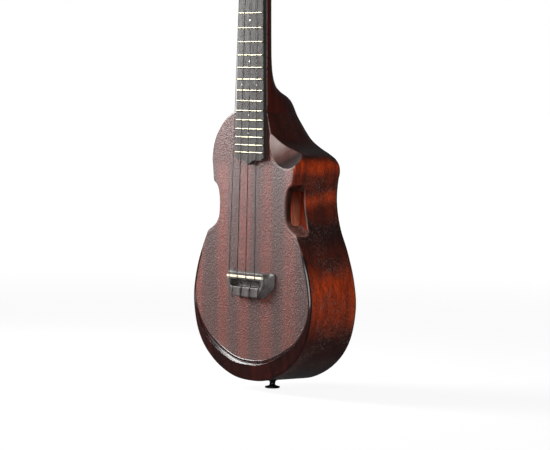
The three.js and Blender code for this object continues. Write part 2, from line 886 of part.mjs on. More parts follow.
POSTS.forEach((post) => {
  const x = post.side * POST_X;
  const tuner = new THREE.Group();
  tuner.position.set(x, 0, post.z);
  head.add(tuner);
  place(`tuner_housing_${post.name}`, tunerHousing(post.side), blackMetal, tuner);
  place(`tuner_post_${post.name}`, tunerPost(), blackMetal, tuner);
  const key = place(`tuner_key_${post.name}`, tunerKey(post.side), blackMetal, tuner);
  key.position.set(0, GEAR_Y, WORM_OFFSET);
});

// ---------- strap button ----------

const strapButton = new THREE.LatheGeometry(
  [
    [0, 0],
    [6.6, 0],
    [7.85, 0.9],
    [7.6, 2],
    [5, 2.6],
    [2.95, 3.4],
    [2.95, 7.2],
    [5.25, 8.4],
    [5.25, 9.3],
    [SCREW_RADIUS, 9.3],
    [SCREW_RADIUS, 26],
    [0, 28],
  ].map(([r, z]) => new THREE.Vector2(r, z)),
  20,
);
strapButton.rotateX(Math.PI / 2);
place("strap_button", solid(strapButton), blackMetal);

export default root;
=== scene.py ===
"""Looks for the concert ukulele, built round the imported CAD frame.

Shapes are worked out in millimetres in the frame's own axes: +Z up the neck, +X to the treble side and
-Y out of the playing face. Carved pieces are level sets: a field that is negative inside the wood is
sampled on a grid, meshed, and its points are moved onto the exact surface."""

import math

import bmesh
import bpy
import numpy as np
from mathutils import Matrix, Vector


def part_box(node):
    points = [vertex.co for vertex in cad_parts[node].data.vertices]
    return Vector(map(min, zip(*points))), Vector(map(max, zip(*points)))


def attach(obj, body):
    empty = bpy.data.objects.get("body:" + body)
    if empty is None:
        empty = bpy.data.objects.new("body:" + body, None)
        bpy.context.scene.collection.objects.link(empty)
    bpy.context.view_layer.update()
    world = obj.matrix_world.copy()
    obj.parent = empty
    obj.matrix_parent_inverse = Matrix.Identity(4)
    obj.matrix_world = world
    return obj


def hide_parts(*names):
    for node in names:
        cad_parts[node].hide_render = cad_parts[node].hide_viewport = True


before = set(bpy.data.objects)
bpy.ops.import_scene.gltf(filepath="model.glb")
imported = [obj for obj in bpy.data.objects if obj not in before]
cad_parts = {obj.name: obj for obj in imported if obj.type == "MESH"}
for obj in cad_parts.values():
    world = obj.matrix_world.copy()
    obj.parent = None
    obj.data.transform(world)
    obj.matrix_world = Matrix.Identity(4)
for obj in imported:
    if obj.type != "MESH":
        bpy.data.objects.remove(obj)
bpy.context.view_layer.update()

ROOT = "instrument"
MM = 0.001
FINE = 1.0  # coarser grids while trying things
GRID = 1.15 * FINE

# ---------- dimensions, in mm ----------

FACE_Y = 1000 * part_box("soundboard")[0].y
BODY_DEPTH = -2 * FACE_Y
PLATE = 2.5
RIB = 2.2
BODY_TOP = 286.2
SADDLE_Z = 116.5
SCALE_LENGTH = 381
NUT_Z = SADDLE_Z + SCALE_LENGTH
NUT_WIDTH = 35.5
BOARD_TAPER = 0.0486
BOARD_THICKNESS = 5.5
BOARD_RADIUS = 220
HEEL_WIDTH = 45.6
PORT_DEPTH = 17
HEAD_TILT = math.radians(12)
HEAD_THICKNESS = 11.5
HEAD_PLATE = 1.5
POST_X = 18.5
POST_HOLE = 4.3
POST_NECK = 2.5
NUT_BACK = 4.7
SCOOP = {"x": 55.8, "z": 256.5, "above": 11.4, "radius": 30.0, "wall": 3.0}


# ---------- curves and fields ----------


def smooth(points, per):
    """A centripetal Catmull-Rom line through the points, with `per` steps on each stretch."""
    p = np.array(points, float)
    p = np.vstack([2 * p[0] - p[1], p, 2 * p[-1] - p[-2]])
    out = []
    for i in range(1, len(p) - 2):
        a, b, c, d = p[i - 1 : i + 3]
        t0 = 0.0
        t1 = t0 + max(np.linalg.norm(b - a), 1e-6) ** 0.5
        t2 = t1 + max(np.linalg.norm(c - b), 1e-6) ** 0.5
        t3 = t2 + max(np.linalg.norm(d - c), 1e-6) ** 0.5
        t = np.linspace(t1, t2, per, endpoint=False)[:, None]
        ab = a * (t1 - t) / (t1 - t0) + b * (t - t0) / (t1 - t0)
        bc = b * (t2 - t) / (t2 - t1) + c * (t - t1) / (t2 - t1)
        cd = c * (t3 - t) / (t3 - t2) + d * (t - t2) / (t3 - t2)
        abc = ab * (t2 - t) / (t2 - t0) + bc * (t - t0) / (t2 - t0)
        bcd = bc * (t3 - t) / (t3 - t1) + cd * (t - t1) / (t3 - t1)
        out.append(abc * (t2 - t) / (t2 - t1) + bcd * (t - t1) / (t2 - t1))
    return np.vstack([*out, p[-2]])


def polygon_distance(loop, x, z):
    """Signed distance to a closed loop, negative inside, for flat arrays x and z."""
    a = np.asarray(loop, float)
    b = np.roll(a, -1, 0)
    keep = np.linalg.norm(b - a, axis=1) > 1e-9
    a, b = a[keep], b[keep]
    e = b - a
    length2 = (e**2).sum(1)
    out = np.empty(len(x))
    batch = 20000
    for s in range(0, len(x), batch):
        px, pz = x[s : s + batch, None], z[s : s + batch, None]
        t = np.clip(((px - a[:, 0]) * e[:, 0] + (pz - a[:, 1]) * e[:, 1]) / length2, 0, 1)
        d2 = (px - a[:, 0] - t * e[:, 0]) ** 2 + (pz - a[:, 1] - t * e[:, 1]) ** 2
        up = (a[:, 1] <= pz) & (b[:, 1] > pz)
        down = (a[:, 1] > pz) & (b[:, 1] <= pz)
        side = e[:, 0] * (pz - a[:, 1]) - (px - a[:, 0]) * e[:, 1]
        winding = (up & (side > 0)).sum(1) - (down & (side < 0)).sum(1)
        d = np.sqrt(d2.min(1))
        out[s : s + batch] = np.where(winding != 0, -d, d)
    return out


class Plan:
    """A flat loop's signed distance, kept on a 1 mm grid and read by cubic interpolation."""

    def __init__(self, loop, margin=14):
        loop = np.asarray(loop, float)
        self.lo = np.floor(loop.min(0) - margin)
        size = (np.ceil(loop.max(0) + margin) - self.lo).astype(int) + 1
        wide = 4
        rough_size = (size - 1) // wide + 2
        gx, gz = np.meshgrid(np.arange(rough_size[0]), np.arange(rough_size[1]), indexing="ij")
        rough = polygon_distance(loop, wide * gx.ravel() + self.lo[0], wide * gz.ravel() + self.lo[1])
        rough = rough.reshape(rough_size)
        gx, gz = np.meshgrid(np.arange(size[0]), np.arange(size[1]), indexing="ij")
        i, j, u, v = gx // wide, gz // wide, gx % wide / wide, gz % wide / wide
        near = (1 - u) * rough[i, j] + u * rough[i + 1, j]
        far = (1 - u) * rough[i, j + 1] + u * rough[i + 1, j + 1]
        self.values = (1 - v) * near + v * far
        close = np.abs(self.values) < 9
        exact = polygon_distance(loop, gx[close] + self.lo[0], gz[close] + self.lo[1])
        self.values[close] = exact

    def __call__(self, x, z):
        x, z = np.broadcast_arrays(np.asarray(x, float), np.asarray(z, float))
        u, v = x - self.lo[0], z - self.lo[1]
        i = np.clip(np.floor(u).astype(int), 1, self.values.shape[0] - 3)
        j = np.clip(np.floor(v).astype(int), 1, self.values.shape[1] - 3)
        wu, wv = self.weights(np.clip(u - i, -0.5, 1.5)), self.weights(np.clip(v - j, -0.5, 1.5))
        total = 0
        for m in range(4):
            row = sum(wv[n] * self.values[i + m - 1, j + n - 1] for n in range(4))
            total = total + wu[m] * row
        return total

    @staticmethod
    def weights(t):
        return (
            -0.5 * t**3 + t**2 - 0.5 * t,
            1.5 * t**3 - 2.5 * t**2 + 1,
            -1.5 * t**3 + 2 * t**2 + 0.5 * t,
            0.5 * t**3 - 0.5 * t**2,
        )


def both(a, b, radius):
    """The part inside both fields, with the edge between them rounded."""
    u, v = a + radius, b + radius
    outside = np.sqrt(np.maximum(u, 0) ** 2 + np.maximum(v, 0) ** 2)
    return np.minimum(np.maximum(u, v), 0) + outside - radius


def either(a, b, radius):
    """The two fields joined, with a fillet between them."""
    return -both(-a, -b, radius)


def without(a, b, radius):
    return both(a, -b, radius)


def net(field, lo, hi, step):
    """Meshes the zero level of a field in a box: a point in each crossed cell, four cells to a face."""
    axes = [np.arange(a, b + step, step) for a, b in zip(lo, hi)]
    shape = [len(a) for a in axes]
    grid = field(axes[0][:, None, None], axes[1][None, :, None], axes[2][None, None, :])
    grid = np.broadcast_to(grid, shape)
    inside = grid < 0
    cells = [n - 1 for n in shape]
    total = np.zeros((*cells, 3))
    count = np.zeros(cells)
    corners = [(i, j, k) for i in (0, 1) for j in (0, 1) for k in (0, 1)]

    def part(array, c):
        return array[tuple(slice(o, o + n) for o, n in zip(c, cells))]

    for c in corners:
        for axis in range(3):
            if c[axis]:
                continue
            d = tuple(o + (1 if a == axis else 0) for a, o in enumerate(c))
            g0, g1 = part(grid, c), part(grid, d)
            hit = part(inside, c) != part(inside, d)
            t = np.where(hit, g0 / np.where(hit, g0 - g1, 1), 0)
            for a in range(3):
                total[..., a] += np.where(hit, c[a] + (t if a == axis else 0), 0)
            count += hit
    used = count > 0
    index = np.full(cells, -1)
    index[used] = np.arange(used.sum())
    where = np.argwhere(used)
    points = (where + total[used] / count[used][:, None]) * step + [a[0] for a in axes]
    faces = []
    for axis in range(3):
        b, c = (axis + 1) % 3, (axis + 2) % 3
        low = [slice(1, n - 1) for n in shape]
        high = list(low)
        low[axis], high[axis] = slice(0, shape[axis] - 1), slice(1, shape[axis])
        s0, s1 = inside[tuple(low)], inside[tuple(high)]
        for sign in (0, 1):
            hit = np.argwhere((s0 != s1) & (s0 if sign == 0 else s1))
            for a in (b, c):
                hit[:, a] += 1
            quad = []
            for ob, oc in ((0, 0), (1, 0), (1, 1), (0, 1)):
                cell = hit.copy()
                cell[:, b] -= ob
                cell[:, c] -= oc
                quad.append(index[cell[:, 0], cell[:, 1], cell[:, 2]])
            quad = np.stack(quad, 1)
            faces.append(quad if sign == 0 else quad[:, ::-1])
    return points, np.vstack(faces)


def settle(field, points, step, rounds=3):
    """Moves points onto the field's zero level."""

    def at(p):
        return np.broadcast_to(field(p[:, 0], p[:, 1], p[:, 2]), len(p))

    for _ in range(rounds):
        value = at(points)
        shift = 0.05
        slope = np.stack([at(points + shift * np.eye(3)[a]) - value for a in range(3)], 1) / shift
        size2 = np.maximum((slope**2).sum(1), 0.05)
        move = -value[:, None] * slope / size2[:, None]
        length = np.linalg.norm(move, axis=1)[:, None]
        points = points + move * np.minimum(1, 0.5 * step / np.maximum(length, 1e-9))
    return points


def carve(field, lo, hi, step):
    points, faces = net(field, lo, hi, step)
    return settle(field, points, step), faces


# ---------- making objects ----------


def add_object(name, data):
    o = bpy.data.objects.new(name, data)
    bpy.context.scene.collection.objects.link(o)
    return o


def piece(name, points, faces, material, slot, body=ROOT, replaces=(), normals=None, flat=False):
    """A mesh object from points in mm that rides on a body."""
    mesh = bpy.data.meshes.new(name)
    mesh.from_pydata((np.asarray(points, float) * MM).tolist(), [], [list(map(int, f)) for f in faces])
    mesh.validate()
    mesh.update()
    mesh.polygons.foreach_set("use_smooth", np.full(len(mesh.polygons), not flat))
    if normals is not None:
        mesh.normals_split_custom_set_from_vertices(np.asarray(normals).tolist())
    return dress(add_object(name, mesh), material, body, replaces)


def dress(o, material, body=None, replaces=()):
    """Gives an object its finish; the CAD's own nodes already ride on their body."""
    o.data.materials.clear()
    o.data.materials.append(material)
    if body:
        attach(o, body)
    if replaces:
        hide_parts(*replaces)
    return o


def bevel(o, width, segments=2):
    """Rounds the object's sharp edges."""
    m = o.modifiers.new("edge", "BEVEL")
    m.width = width * MM
    m.segments = segments
    m.limit_method = "ANGLE"
    m.angle_limit = math.radians(30)


def strip(rings, closed_rows=False, caps=True):
    """A shape through closed rings in a row: its points, and its faces looking outward."""
    rows, n = len(rings), len(rings[0])
    faces = []
    for r in range(rows if closed_rows else rows - 1):
        s = (r + 1) % rows
        for i in range(n):
            j = (i + 1) % n
            faces.append([r * n + i, r * n + j, s * n + j, s * n + i])
    if caps:
        faces.append(list(range(n))[::-1])
        faces.append([(rows - 1) * n + i for i in range(n)])
    points = np.vstack([np.asarray(r, float) for r in rings])
    return points, outward(points, faces)


def outward(points, faces):
    """The faces, turned so that they look out of the closed shape."""
    volume = 0.0
    for f in faces:
        p = [points[i] for i in f]
        for k in range(1, len(f) - 1):
            volume += np.dot(p[0], np.cross(p[k], p[k + 1]))
    return faces if volume > 0 else [f[::-1] for f in faces]


def lathe(profile, sides, axis="z", centre=(0, 0, 0)):
    """A closed turned shape from a profile of (radius, place along the axis)."""
    angles = np.arange(sides) * 2 * math.pi / sides
    turn = np.stack([np.cos(angles), np.sin(angles), 0 * angles], 1)
    points, faces = strip([r * turn + [0, 0, h] for r, h in profile])
    order = {"z": (0, 1, 2), "y": (0, 2, 1), "x": (2, 0, 1)}[axis]
    points = points[:, order] + np.array(centre, float)
    return points, outward(points, faces)


TILT_COS, TILT_SIN = math.cos(HEAD_TILT), math.sin(HEAD_TILT)
HEAD_MATRIX = np.array([[1, 0, 0], [0, TILT_COS, TILT_SIN], [0, -TILT_SIN, TILT_COS]])
HEAD_ORIGIN = np.array([0, FACE_Y, NUT_Z])


def from_head(points):
    """Moves points from the headstock's tilted frame into the part's own frame."""
    return np.asarray(points, float) @ HEAD_MATRIX.T + HEAD_ORIGIN


# ---------- materials ----------


class Nodes:
    """A small wrapper that makes and links shader nodes."""

    def __init__(self, name):
        self.material = bpy.data.materials.new(name)
        self.material.use_nodes = True
        self.tree = self.material.node_tree
        self.shader = self.tree.nodes["Principled BSDF"]
        coordinates = self.tree.nodes.new("ShaderNodeTexCoord")
        self.object = coordinates.outputs["Object"]

    def add(self, kind, **inputs):
        node = self.tree.nodes.new(kind)
        for key, value in inputs.items():
            self.set(node.inputs[key.replace("_", " ")], value)
        return node

    def set(self, socket, value):
        if isinstance(value, bpy.types.NodeSocket):
            self.tree.links.new(value, socket)
        else:
            socket.default_value = value

    def math(self, operation, a, b=0.0):
        node = self.tree.nodes.new("ShaderNodeMath")
        node.operation = operation
        self.set(node.inputs[0], a)
        self.set(node.inputs[1], b)
        return node.outputs[0]

    def times(self, a, b):
        return self.math("MULTIPLY", a, b)

    def plus(self, a, b):
        return self.math("ADD", a, b)

    def minus(self, a, b):
        return self.math("SUBTRACT", a, b)

    def noise(self, scale, detail, roughness, distortion=0.0, turn=(0, 0, 0)):
        """Noise with `scale` features per metre along each axis, first turned by `turn`."""
        place = self.add("ShaderNodeMapping", Vector=self.object, Scale=scale, Rotation=turn)
        levels = {"Scale": 1.0, "Detail": detail, "Roughness": roughness, "Distortion": distortion}
        return self.add("ShaderNodeTexNoise", Vector=place.outputs[0], **levels).outputs["Fac"]

    def ramp(self, value, stops, mode="LINEAR"):
        """Stops are (place, grey or colour)."""
        node = self.tree.nodes.new("ShaderNodeValToRGB")
        self.set(node.inputs[0], value)
        node.color_ramp.interpolation = mode
        elements = node.color_ramp.elements
        while len(elements) < len(stops):
            elements.new(0.5)
        for element, (place, colour) in zip(elements, stops):
            element.position = place
            if not hasattr(colour, "__len__"):
                colour = (colour,) * 3
            element.color = (*colour, 1)
        return node.outputs[0]

    def mix(self, factor, a, b):
        node = self.tree.nodes.new("ShaderNodeMix")
        node.data_type = "RGBA"
        self.set(node.inputs[0], factor)
        for socket, value in ((node.inputs[6], a), (node.inputs[7], b)):
            if hasattr(value, "__len__"):
                value = (*value, 1)
            self.set(socket, value)
        return node.outputs[2]

    def range(self, value, a=0.3, b=0.7, c=0.0, d=1.0):
        """Runs smoothly from c to d while the value runs from a to b."""
        node = self.tree.nodes.new("ShaderNodeMapRange")
        node.interpolation_type = "SMOOTHSTEP"
        for key, v in zip(("Value", "From Min", "From Max", "To Min", "To Max"), (value, a, b, c, d)):
            self.set(node.inputs[key], v)
        return node.outputs[0]

    def split(self):
        """The place's X, Y and Z."""
        return self.add("ShaderNodeSeparateXYZ", Vector=self.object).outputs

    def bump(self, height, strength, distance):
        return self.add("ShaderNodeBump", Height=height, Strength=strength, Distance=distance).outputs[0]

    def finish(self, colour, roughness, normal=None, **uniform):
        """Links what varies over the surface and sets what doesn't."""
        sockets = self.shader.inputs
        self.set(sockets["Base Color"], colour)
        self.set(sockets["Roughness"], roughness)
        if normal is not None:
            self.set(sockets["Normal"], normal)
        for key, value in uniform.items():
            sockets[key.replace("_", " ")].default_value = value
        return self.material


def pores(n, size, stretch):
    """Short open pores along the grain: 1 in a pore, 0 between."""
    speck = n.noise((1 / size, 1 / size, 1 / size / stretch), 1.0, 0.4)
    return n.range(speck, 0.62, 0.72)


def top_wood():
    """Satin stained wood: broad stripes, and a pebbly skin of half-filled pores."""
    n = Nodes("top_wood")
    x, _, z = n.split()
    wander = n.times(n.noise((24, 24, 3), 2.0, 0.5), 0.022)
    turn = n.times(n.plus(x, wander), 2 * math.pi / 0.039)
    wave = n.math("SINE", n.minus(turn, 4.7))
    stripe = n.range(wave, -0.8, 0.9)
    streak = n.noise((420, 420, 9), 3.0, 0.6)
    fleck = n.noise((760, 760, 560), 2.0, 0.6, turn=(0.3, 0, 0))
    blotch = n.noise((180, 180, 110), 2.0, 0.6)
    colour = n.mix(stripe, (0.060, 0.033, 0.031), (0.200, 0.040, 0.027))
    colour = n.mix(n.range(blotch, 0.35, 0.65, 0.35, 0.0), colour, (0.052, 0.024, 0.021))
    colour = n.mix(n.range(streak, 0.3, 0.7, 0, 0.35), colour, (0.15, 0.062, 0.050))
    # Painted sheen: a lighter grey-pink laid over the lower face and fading out upward, standing in for the
    # satin's reflection.
    high = n.range(n.minus(z, n.times(x, 0.3)), 0.02, 0.20, 0.25, 0.0)
    colour = n.mix(high, colour, (0.17, 0.10, 0.09))
    colour = n.mix(n.range(fleck, 0.38, 0.62, 0.0, 0.6), colour, (0.036, 0.016, 0.014))
    # Painted shadow of the fretboard: the top up by the heel, short of 27 mm to the treble side, is painted
    # darker red.
    shade = n.times(n.range(x, 0.036, 0.027), n.range(z, 0.224, 0.236))
    colour = n.mix(n.times(shade, 0.8), colour, (0.055, 0.010, 0.006))
    normal = n.bump(fleck, 0.7, 0.0011)
    roughness = n.range(fleck, 0.3, 0.7, 0.36, 0.46)
    return n.finish(colour, roughness, normal, Specular_IOR_Level=0.5)


def side_wood():
    """Gloss lacquer over a dark sunburst, with orange bands painted in by height where the side bulges to face
    the light: partly the wood's own orange, partly painted light.
    """
    n = Nodes("side_wood")
    z = n.split()[2]
    cloud = n.noise((30, 30, 30), 3.0, 0.6)
    wander = n.times(n.minus(cloud, 0.5), 0.022)
    place = n.plus(z, wander)
    height = n.math("DIVIDE", place, 0.3)
    # Painted light: orange bands placed by height where the side faces the right-hand light, mixed over the
    # dark sunburst.
    painted_glow_bands = [
        (0.0, 0.02), (0.17, 0.05), (0.30, 0.75), (0.37, 1.0), (0.45, 0.18), (0.56, 0.03),
        (0.62, 0.22), (0.655, 0.90), (0.69, 0.20), (0.735, 0.30), (0.775, 1.0), (0.80, 0.10),
    ]
    glow = n.ramp(height, painted_glow_bands, "EASE")
    figure = n.noise((160, 160, 5), 2.0, 0.5, 0.3)
    streak = n.noise((500, 500, 14), 3.0, 0.6)
    straight = n.range(z, 0.03, 0.07)
    amount = n.times(glow, n.range(figure, 0.3, 0.68, 0.45, 1.0))
    dark = n.mix(n.range(cloud, 0.35, 0.65), (0.008, 0.0045, 0.0040), (0.020, 0.0090, 0.0075))
    colour = n.mix(amount, dark, (0.75, 0.075, 0.006))
    lines = n.times(n.range(streak, 0.45, 0.75, 0, 0.45), straight)
    colour = n.mix(lines, colour, (0.020, 0.006, 0.004))
    fleck = n.noise((1000, 1000, 420), 1.5, 0.5, turn=(0.6, 0, 0))
    # Painted glints: lighter specks where the pores catch the light, fewer up on the cutaway wall.
    patch = n.range(n.noise((26, 26, 40), 1.0, 0.5), 0.38, 0.58, 0.15, 1.0)
    light = n.times(n.range(fleck, 0.53, 0.67), patch)
    light = n.times(light, n.range(z, 0.235, 0.262, 1.0, 0.25))
    colour = n.mix(n.times(light, 0.65), colour, (0.20, 0.145, 0.125))
    colour = n.mix(n.range(fleck, 0.46, 0.34, 0.0, 0.55), colour, (0.008, 0.003, 0.002))
    normal = n.bump(fleck, 0.12, 0.0003)
    return n.finish(colour, 0.32, normal, Coat_Weight=1.0, Coat_Roughness=0.06, Specular_IOR_Level=0.35)


def port_wood():
    """The carved edge of a port: black sunburst above, and a pale satin tone on the sill, painted in as the
    light on its upward face.
    """
    n = Nodes("port_wood")
    z = n.split()[2]
    figure = n.noise((220, 220, 30), 3.0, 0.6, 0.4)
    # Painted light: below about 0.17 m the sill turns pale, as if lit from above.
    low = n.range(z, 0.178, 0.170)
    dark = n.mix(n.range(figure, 0.35, 0.65), (0.010, 0.004, 0.003), (0.060, 0.016, 0.008))
    sill = n.mix(n.range(figure), (0.16, 0.070, 0.055), (0.36, 0.16, 0.13))
    colour = n.mix(low, dark, sill)
    normal = n.bump(figure, 0.15, 0.0004)
    return n.finish(colour, n.range(figure, 0.3, 0.7, 0.28, 0.42), normal)


def burst_wood(name, low, high, gloss, scale=(160, 160, 6)):
    """Gloss lacquer over stained wood, dark in places."""
    n = Nodes(name)
    figure = n.noise(scale, 3.0, 0.55, 0.2)
    cloud = n.noise((22, 22, 22), 2.0, 0.5)
    amount = n.times(n.range(figure, 0.3, 0.7, 0.3, 1.0), n.range(cloud, 0.3, 0.7, 0.35, 1.0))
    colour = n.mix(amount, low, high)
    pore = pores(n, 0.0005, 8)
    colour = n.mix(n.times(pore, 0.5), colour, tuple(c * 0.4 for c in low))
    normal = n.bump(n.times(pore, -1.0), 0.2, 0.0003)
    return n.finish(colour, 0.3, normal, Coat_Weight=1.0, Coat_Roughness=gloss, Specular_IOR_Level=0.4)


def scoop_wood():
    """The hollow beside the horn, painted pale near the board and black at the horn: painted light and shade
    standing in for how the lamps fall across the bowl.
    """
    n = Nodes("scoop_wood")
    x, _, z = n.split()
    figure = n.noise((120, 120, 8), 3.0, 0.55, 0.2, turn=(0, 0.7, 0))
    fleck = n.noise((1100, 1100, 420), 2.0, 0.6)
    # Painted light and shade: pale at the upper left by the board, darkening to black towards the horn.
    place = n.plus(n.minus(x, z), n.times(figure, 0.012))
    painted_light_ramp = [
        (0.0, (0.62, 0.48, 0.45)),
        (0.22, (0.46, 0.32, 0.29)),
        (0.5, (0.20, 0.090, 0.078)),
        (0.8, (0.030, 0.011, 0.009)),
        (1.0, (0.012, 0.005, 0.004)),
    ]
    colour = n.ramp(n.range(place, -0.228, -0.164), painted_light_ramp)
    colour = n.mix(n.range(fleck, 0.45, 0.7, 0.0, 0.15), colour, (0.04, 0.02, 0.017))
    normal = n.bump(fleck, 0.12, 0.0004)
    roughness = n.plus(n.range(place, -0.21, -0.18, 0.36, 0.8), n.range(fleck, 0.3, 0.7, 0.0, 0.1))
    return n.finish(colour, roughness, normal, Specular_IOR_Level=0.35)


def raw_wood(name, light, dark, size=1.0):
    """Bare wood as it is inside the body."""
    n = Nodes(name)
    figure = n.noise((110 * size, 110 * size, 5 * size), 4.0, 0.6, 0.3)
    fine = n.noise((900, 900, 60), 2.0, 0.6)
    colour = n.mix(n.range(figure), light, dark)
    colour = n.mix(n.range(fine, 0.35, 0.75, 0.0, 0.6), colour, tuple(c * 0.45 for c in dark))
    normal = n.bump(fine, 0.3, 0.0003)
    return n.finish(colour, n.range(fine, 0.3, 0.7, 0.6, 0.8), normal, Specular_IOR_Level=0.12)


def board_wood(name, low, high, roughness, shine):
    """Dark oiled wood with open pores."""
    n = Nodes(name)
    figure = n.noise((260, 260, 7), 4.0, 0.6, 0.2)
    fine = n.noise((1400, 1400, 90), 2.0, 0.6)
    pore = pores(n, 0.0004, 9)
    colour = n.mix(n.range(figure), low, high)
    colour = n.mix(n.range(fine, 0.35, 0.7, 0, 0.5), colour, tuple(c * 0.5 for c in low))
    colour = n.mix(n.times(pore, 0.7), colour, tuple(c * 0.25 for c in low))
    normal = n.bump(n.minus(n.times(fine, 0.3), pore), 0.3, 0.0003)
    polish = n.range(fine, 0.3, 0.7, roughness - 0.05, roughness + 0.1)
    return n.finish(colour, polish, normal, Specular_IOR_Level=shine)


def bone():
    n = Nodes("bone")
    cloud = n.noise((60, 60, 60), 3.0, 0.5)
    fine = n.noise((900, 900, 900), 2.0, 0.6)
    colour = n.mix(n.range(cloud), (0.72, 0.63, 0.42), (0.83, 0.77, 0.60))
    colour = n.mix(n.range(fine, 0.55, 0.75, 0, 0.35), colour, (0.50, 0.40, 0.24))
    glow = {"Subsurface_Weight": 0.1, "Subsurface_Radius": (0.002, 0.001, 0.0006)}
    return n.finish(colour, 0.32, n.bump(fine, 0.1, 0.0001), **glow)


def metal(name, low, high, roughness, metallic=1.0):
    """Plated or enamelled metal with fine wear."""
    n = Nodes(name)
    cloud = n.noise((90, 90, 90), 2.0, 0.5)
    fine = n.noise((700, 700, 700), 3.0, 0.6)
    colour = n.mix(n.range(cloud), low, high)
    return n.finish(
        colour,
        n.range(fine, 0.3, 0.7, roughness * 0.8, roughness * 1.3),
        n.bump(fine, 0.06, 0.0001),
        Metallic=metallic,
    )


def nylon():
    n = Nodes("string")
    fine = n.noise((1500, 1500, 200), 2.0, 0.5)
    colour = n.mix(n.range(fine), (0.012, 0.009, 0.008), (0.035, 0.026, 0.022))
    return n.finish(colour, n.range(fine, 0.3, 0.7, 0.25, 0.4), n.bump(fine, 0.1, 0.0001))


def pearl():
    n = Nodes("dot_inlay")
    cloud = n.noise((700, 700, 700), 3.0, 0.6, 0.8)
    colour = n.mix(n.range(cloud), (0.70, 0.68, 0.62), (0.92, 0.90, 0.86))
    return n.finish(colour, n.range(cloud, 0.3, 0.7, 0.2, 0.35), n.bump(cloud, 0.08, 0.0001))


M = {
    "top": top_wood(),
    "side": side_wood(),
    "scoop": scoop_wood(),
    "rim": burst_wood("rim_wood", (0.003, 0.0014, 0.0013), (0.042, 0.005, 0.0025), 0.10),
    "neck": burst_wood("neck_wood", (0.022, 0.004, 0.002), (0.19, 0.018, 0.004), 0.06),
    "back": burst_wood("back_wood", (0.030, 0.008, 0.004), (0.15, 0.036, 0.012), 0.07, (70, 70, 4)),
    "port": port_wood(),
    "inner": raw_wood("inner_wood", (0.92, 0.115, 0.026), (0.66, 0.070, 0.014)),
    "strip": raw_wood("strip_wood", (0.90, 0.26, 0.13), (0.70, 0.18, 0.085)),
    "spruce": raw_wood("spruce", (0.60, 0.42, 0.22), (0.48, 0.30, 0.14), 2.0),
    "board": board_wood("board_wood", (0.040, 0.036, 0.034), (0.078, 0.072, 0.066), 0.5, 0.16),
    "bridge": board_wood("bridge_wood", (0.055, 0.047, 0.045), (0.12, 0.105, 0.10), 0.42, 0.5),
    "bone": bone(),
    "fret": metal("fret_metal", (0.36, 0.33, 0.22), (0.50, 0.46, 0.33), 0.34),
    "black": metal("tuner_metal", (0.012, 0.012, 0.013), (0.035, 0.035, 0.037), 0.22, 0.6),
    "button": metal("button_metal", (0.006, 0.006, 0.006), (0.014, 0.014, 0.014), 0.25, 0.0),
    "string": nylon(),
    "dot": pearl(),
}

# ---------- body ----------

# Half width and height of the outline from the bottom seam up to the upper bout.
HALF_OUTLINE = [
    (0, 9.5), (24, 11.2), (45, 17.5), (64, 27.5), (80.5, 41.5), (92, 60), (98.3, 90), (94.3, 117),
    (84, 144.5), (71, 170.5), (65.3, 196), (67.4, 218),
]
# At each depth below the face: the cutaway from the heel round the horn, and the bass shoulder up to the heel.
LEVELS = [
    (
        0,
        [(22.8, 286.2), (26.5, 274), (29.5, 264), (34, 256), (42.5, 250), (54, 246.6), (64.5, 243.2),
         (68.8, 238), (69.3, 228)],
        [(-69.4, 238), (-64.6, 257), (-54, 270.5), (-42.5, 279.6), (-32, 284.4), (-22.8, 286.2)],
    ),
    (
        30,
        [(18.6, 286.2), (23, 274), (27.5, 264), (33, 255.8), (42, 249.6), (53.5, 245.6), (64.2, 241.2),
         (68.6, 235), (69.3, 226)],
        [(-69.4, 238), (-64.6, 257), (-54, 270.4), (-42.3, 279.4), (-30, 284.6), (-18.6, 286.2)],
    ),
    (
        48,
        [(9.3, 286.2), (17, 274.5), (24, 264), (31, 255.5), (41, 249.5), (53, 245), (64, 240),
         (68.5, 233.5), (69.3, 225)],
        [(-69.4, 238), (-64.6, 257), (-53.8, 270), (-42, 278.6), (-28, 284), (-9.3, 286.2)],
    ),
    (
        61,
        [(-2, 277.5), (4, 273), (13, 264.5), (23, 256.5), (38, 249.2), (52, 243.6), (63.5, 237.5),
         (68.4, 231.5), (69.3, 224)],
        [(-69.4, 238), (-64.2, 256), (-53, 268), (-40, 275), (-22, 278.6), (-6, 278.4)],
    ),
]
PORT_EDGE = [
    (76, 213), (65, 211.2), (59.8, 207), (56.9, 199), (56, 187), (57.4, 175.5), (62, 169),
    (69, 164.2), (79, 160),
]


def body_loop(cutaway, shoulder):
    """The outline at one depth. Its heel end runs on past the seam, and the body is cut off square there."""
    middle = HALF_OUTLINE[1:][::-1] + [(-x, z) for x, z in HALF_OUTLINE]
    line = smooth([*cutaway, *middle, *shoulder], 24)
    if cutaway[0][1] < BODY_TOP:
        return line
    return np.vstack([(cutaway[0][0], BODY_TOP + 4), line, (shoulder[-1][0], BODY_TOP + 4)])


DEPTHS = [level[0] for level in LEVELS]
LOOPS = [body_loop(c, s) for _, c, s in LEVELS]
PLANS = [Plan(loop) for loop in LOOPS]
port_curve = smooth(PORT_EDGE, 8)
PORT_PLAN = Plan(np.vstack([port_curve, [(110, 160), (110, 213)]]), 24)


def outline(x, depth, z):
    """Distance to the body's outline, which changes with the depth."""
    depth = np.clip(depth, 0, DEPTHS[-1])
    total = 0
    for i, plan in enumerate(PLANS):
        before = DEPTHS[i - 1] if i else -1
        after = DEPTHS[i + 1] if i + 1 < len(DEPTHS) else DEPTHS[-1] + 1
        up = (depth - before) / (DEPTHS[i] - before)
        down = (after - depth) / (after - DEPTHS[i])
        total = total + np.clip(np.minimum(up, down), 0, 1) * plan(x, z)
    return total


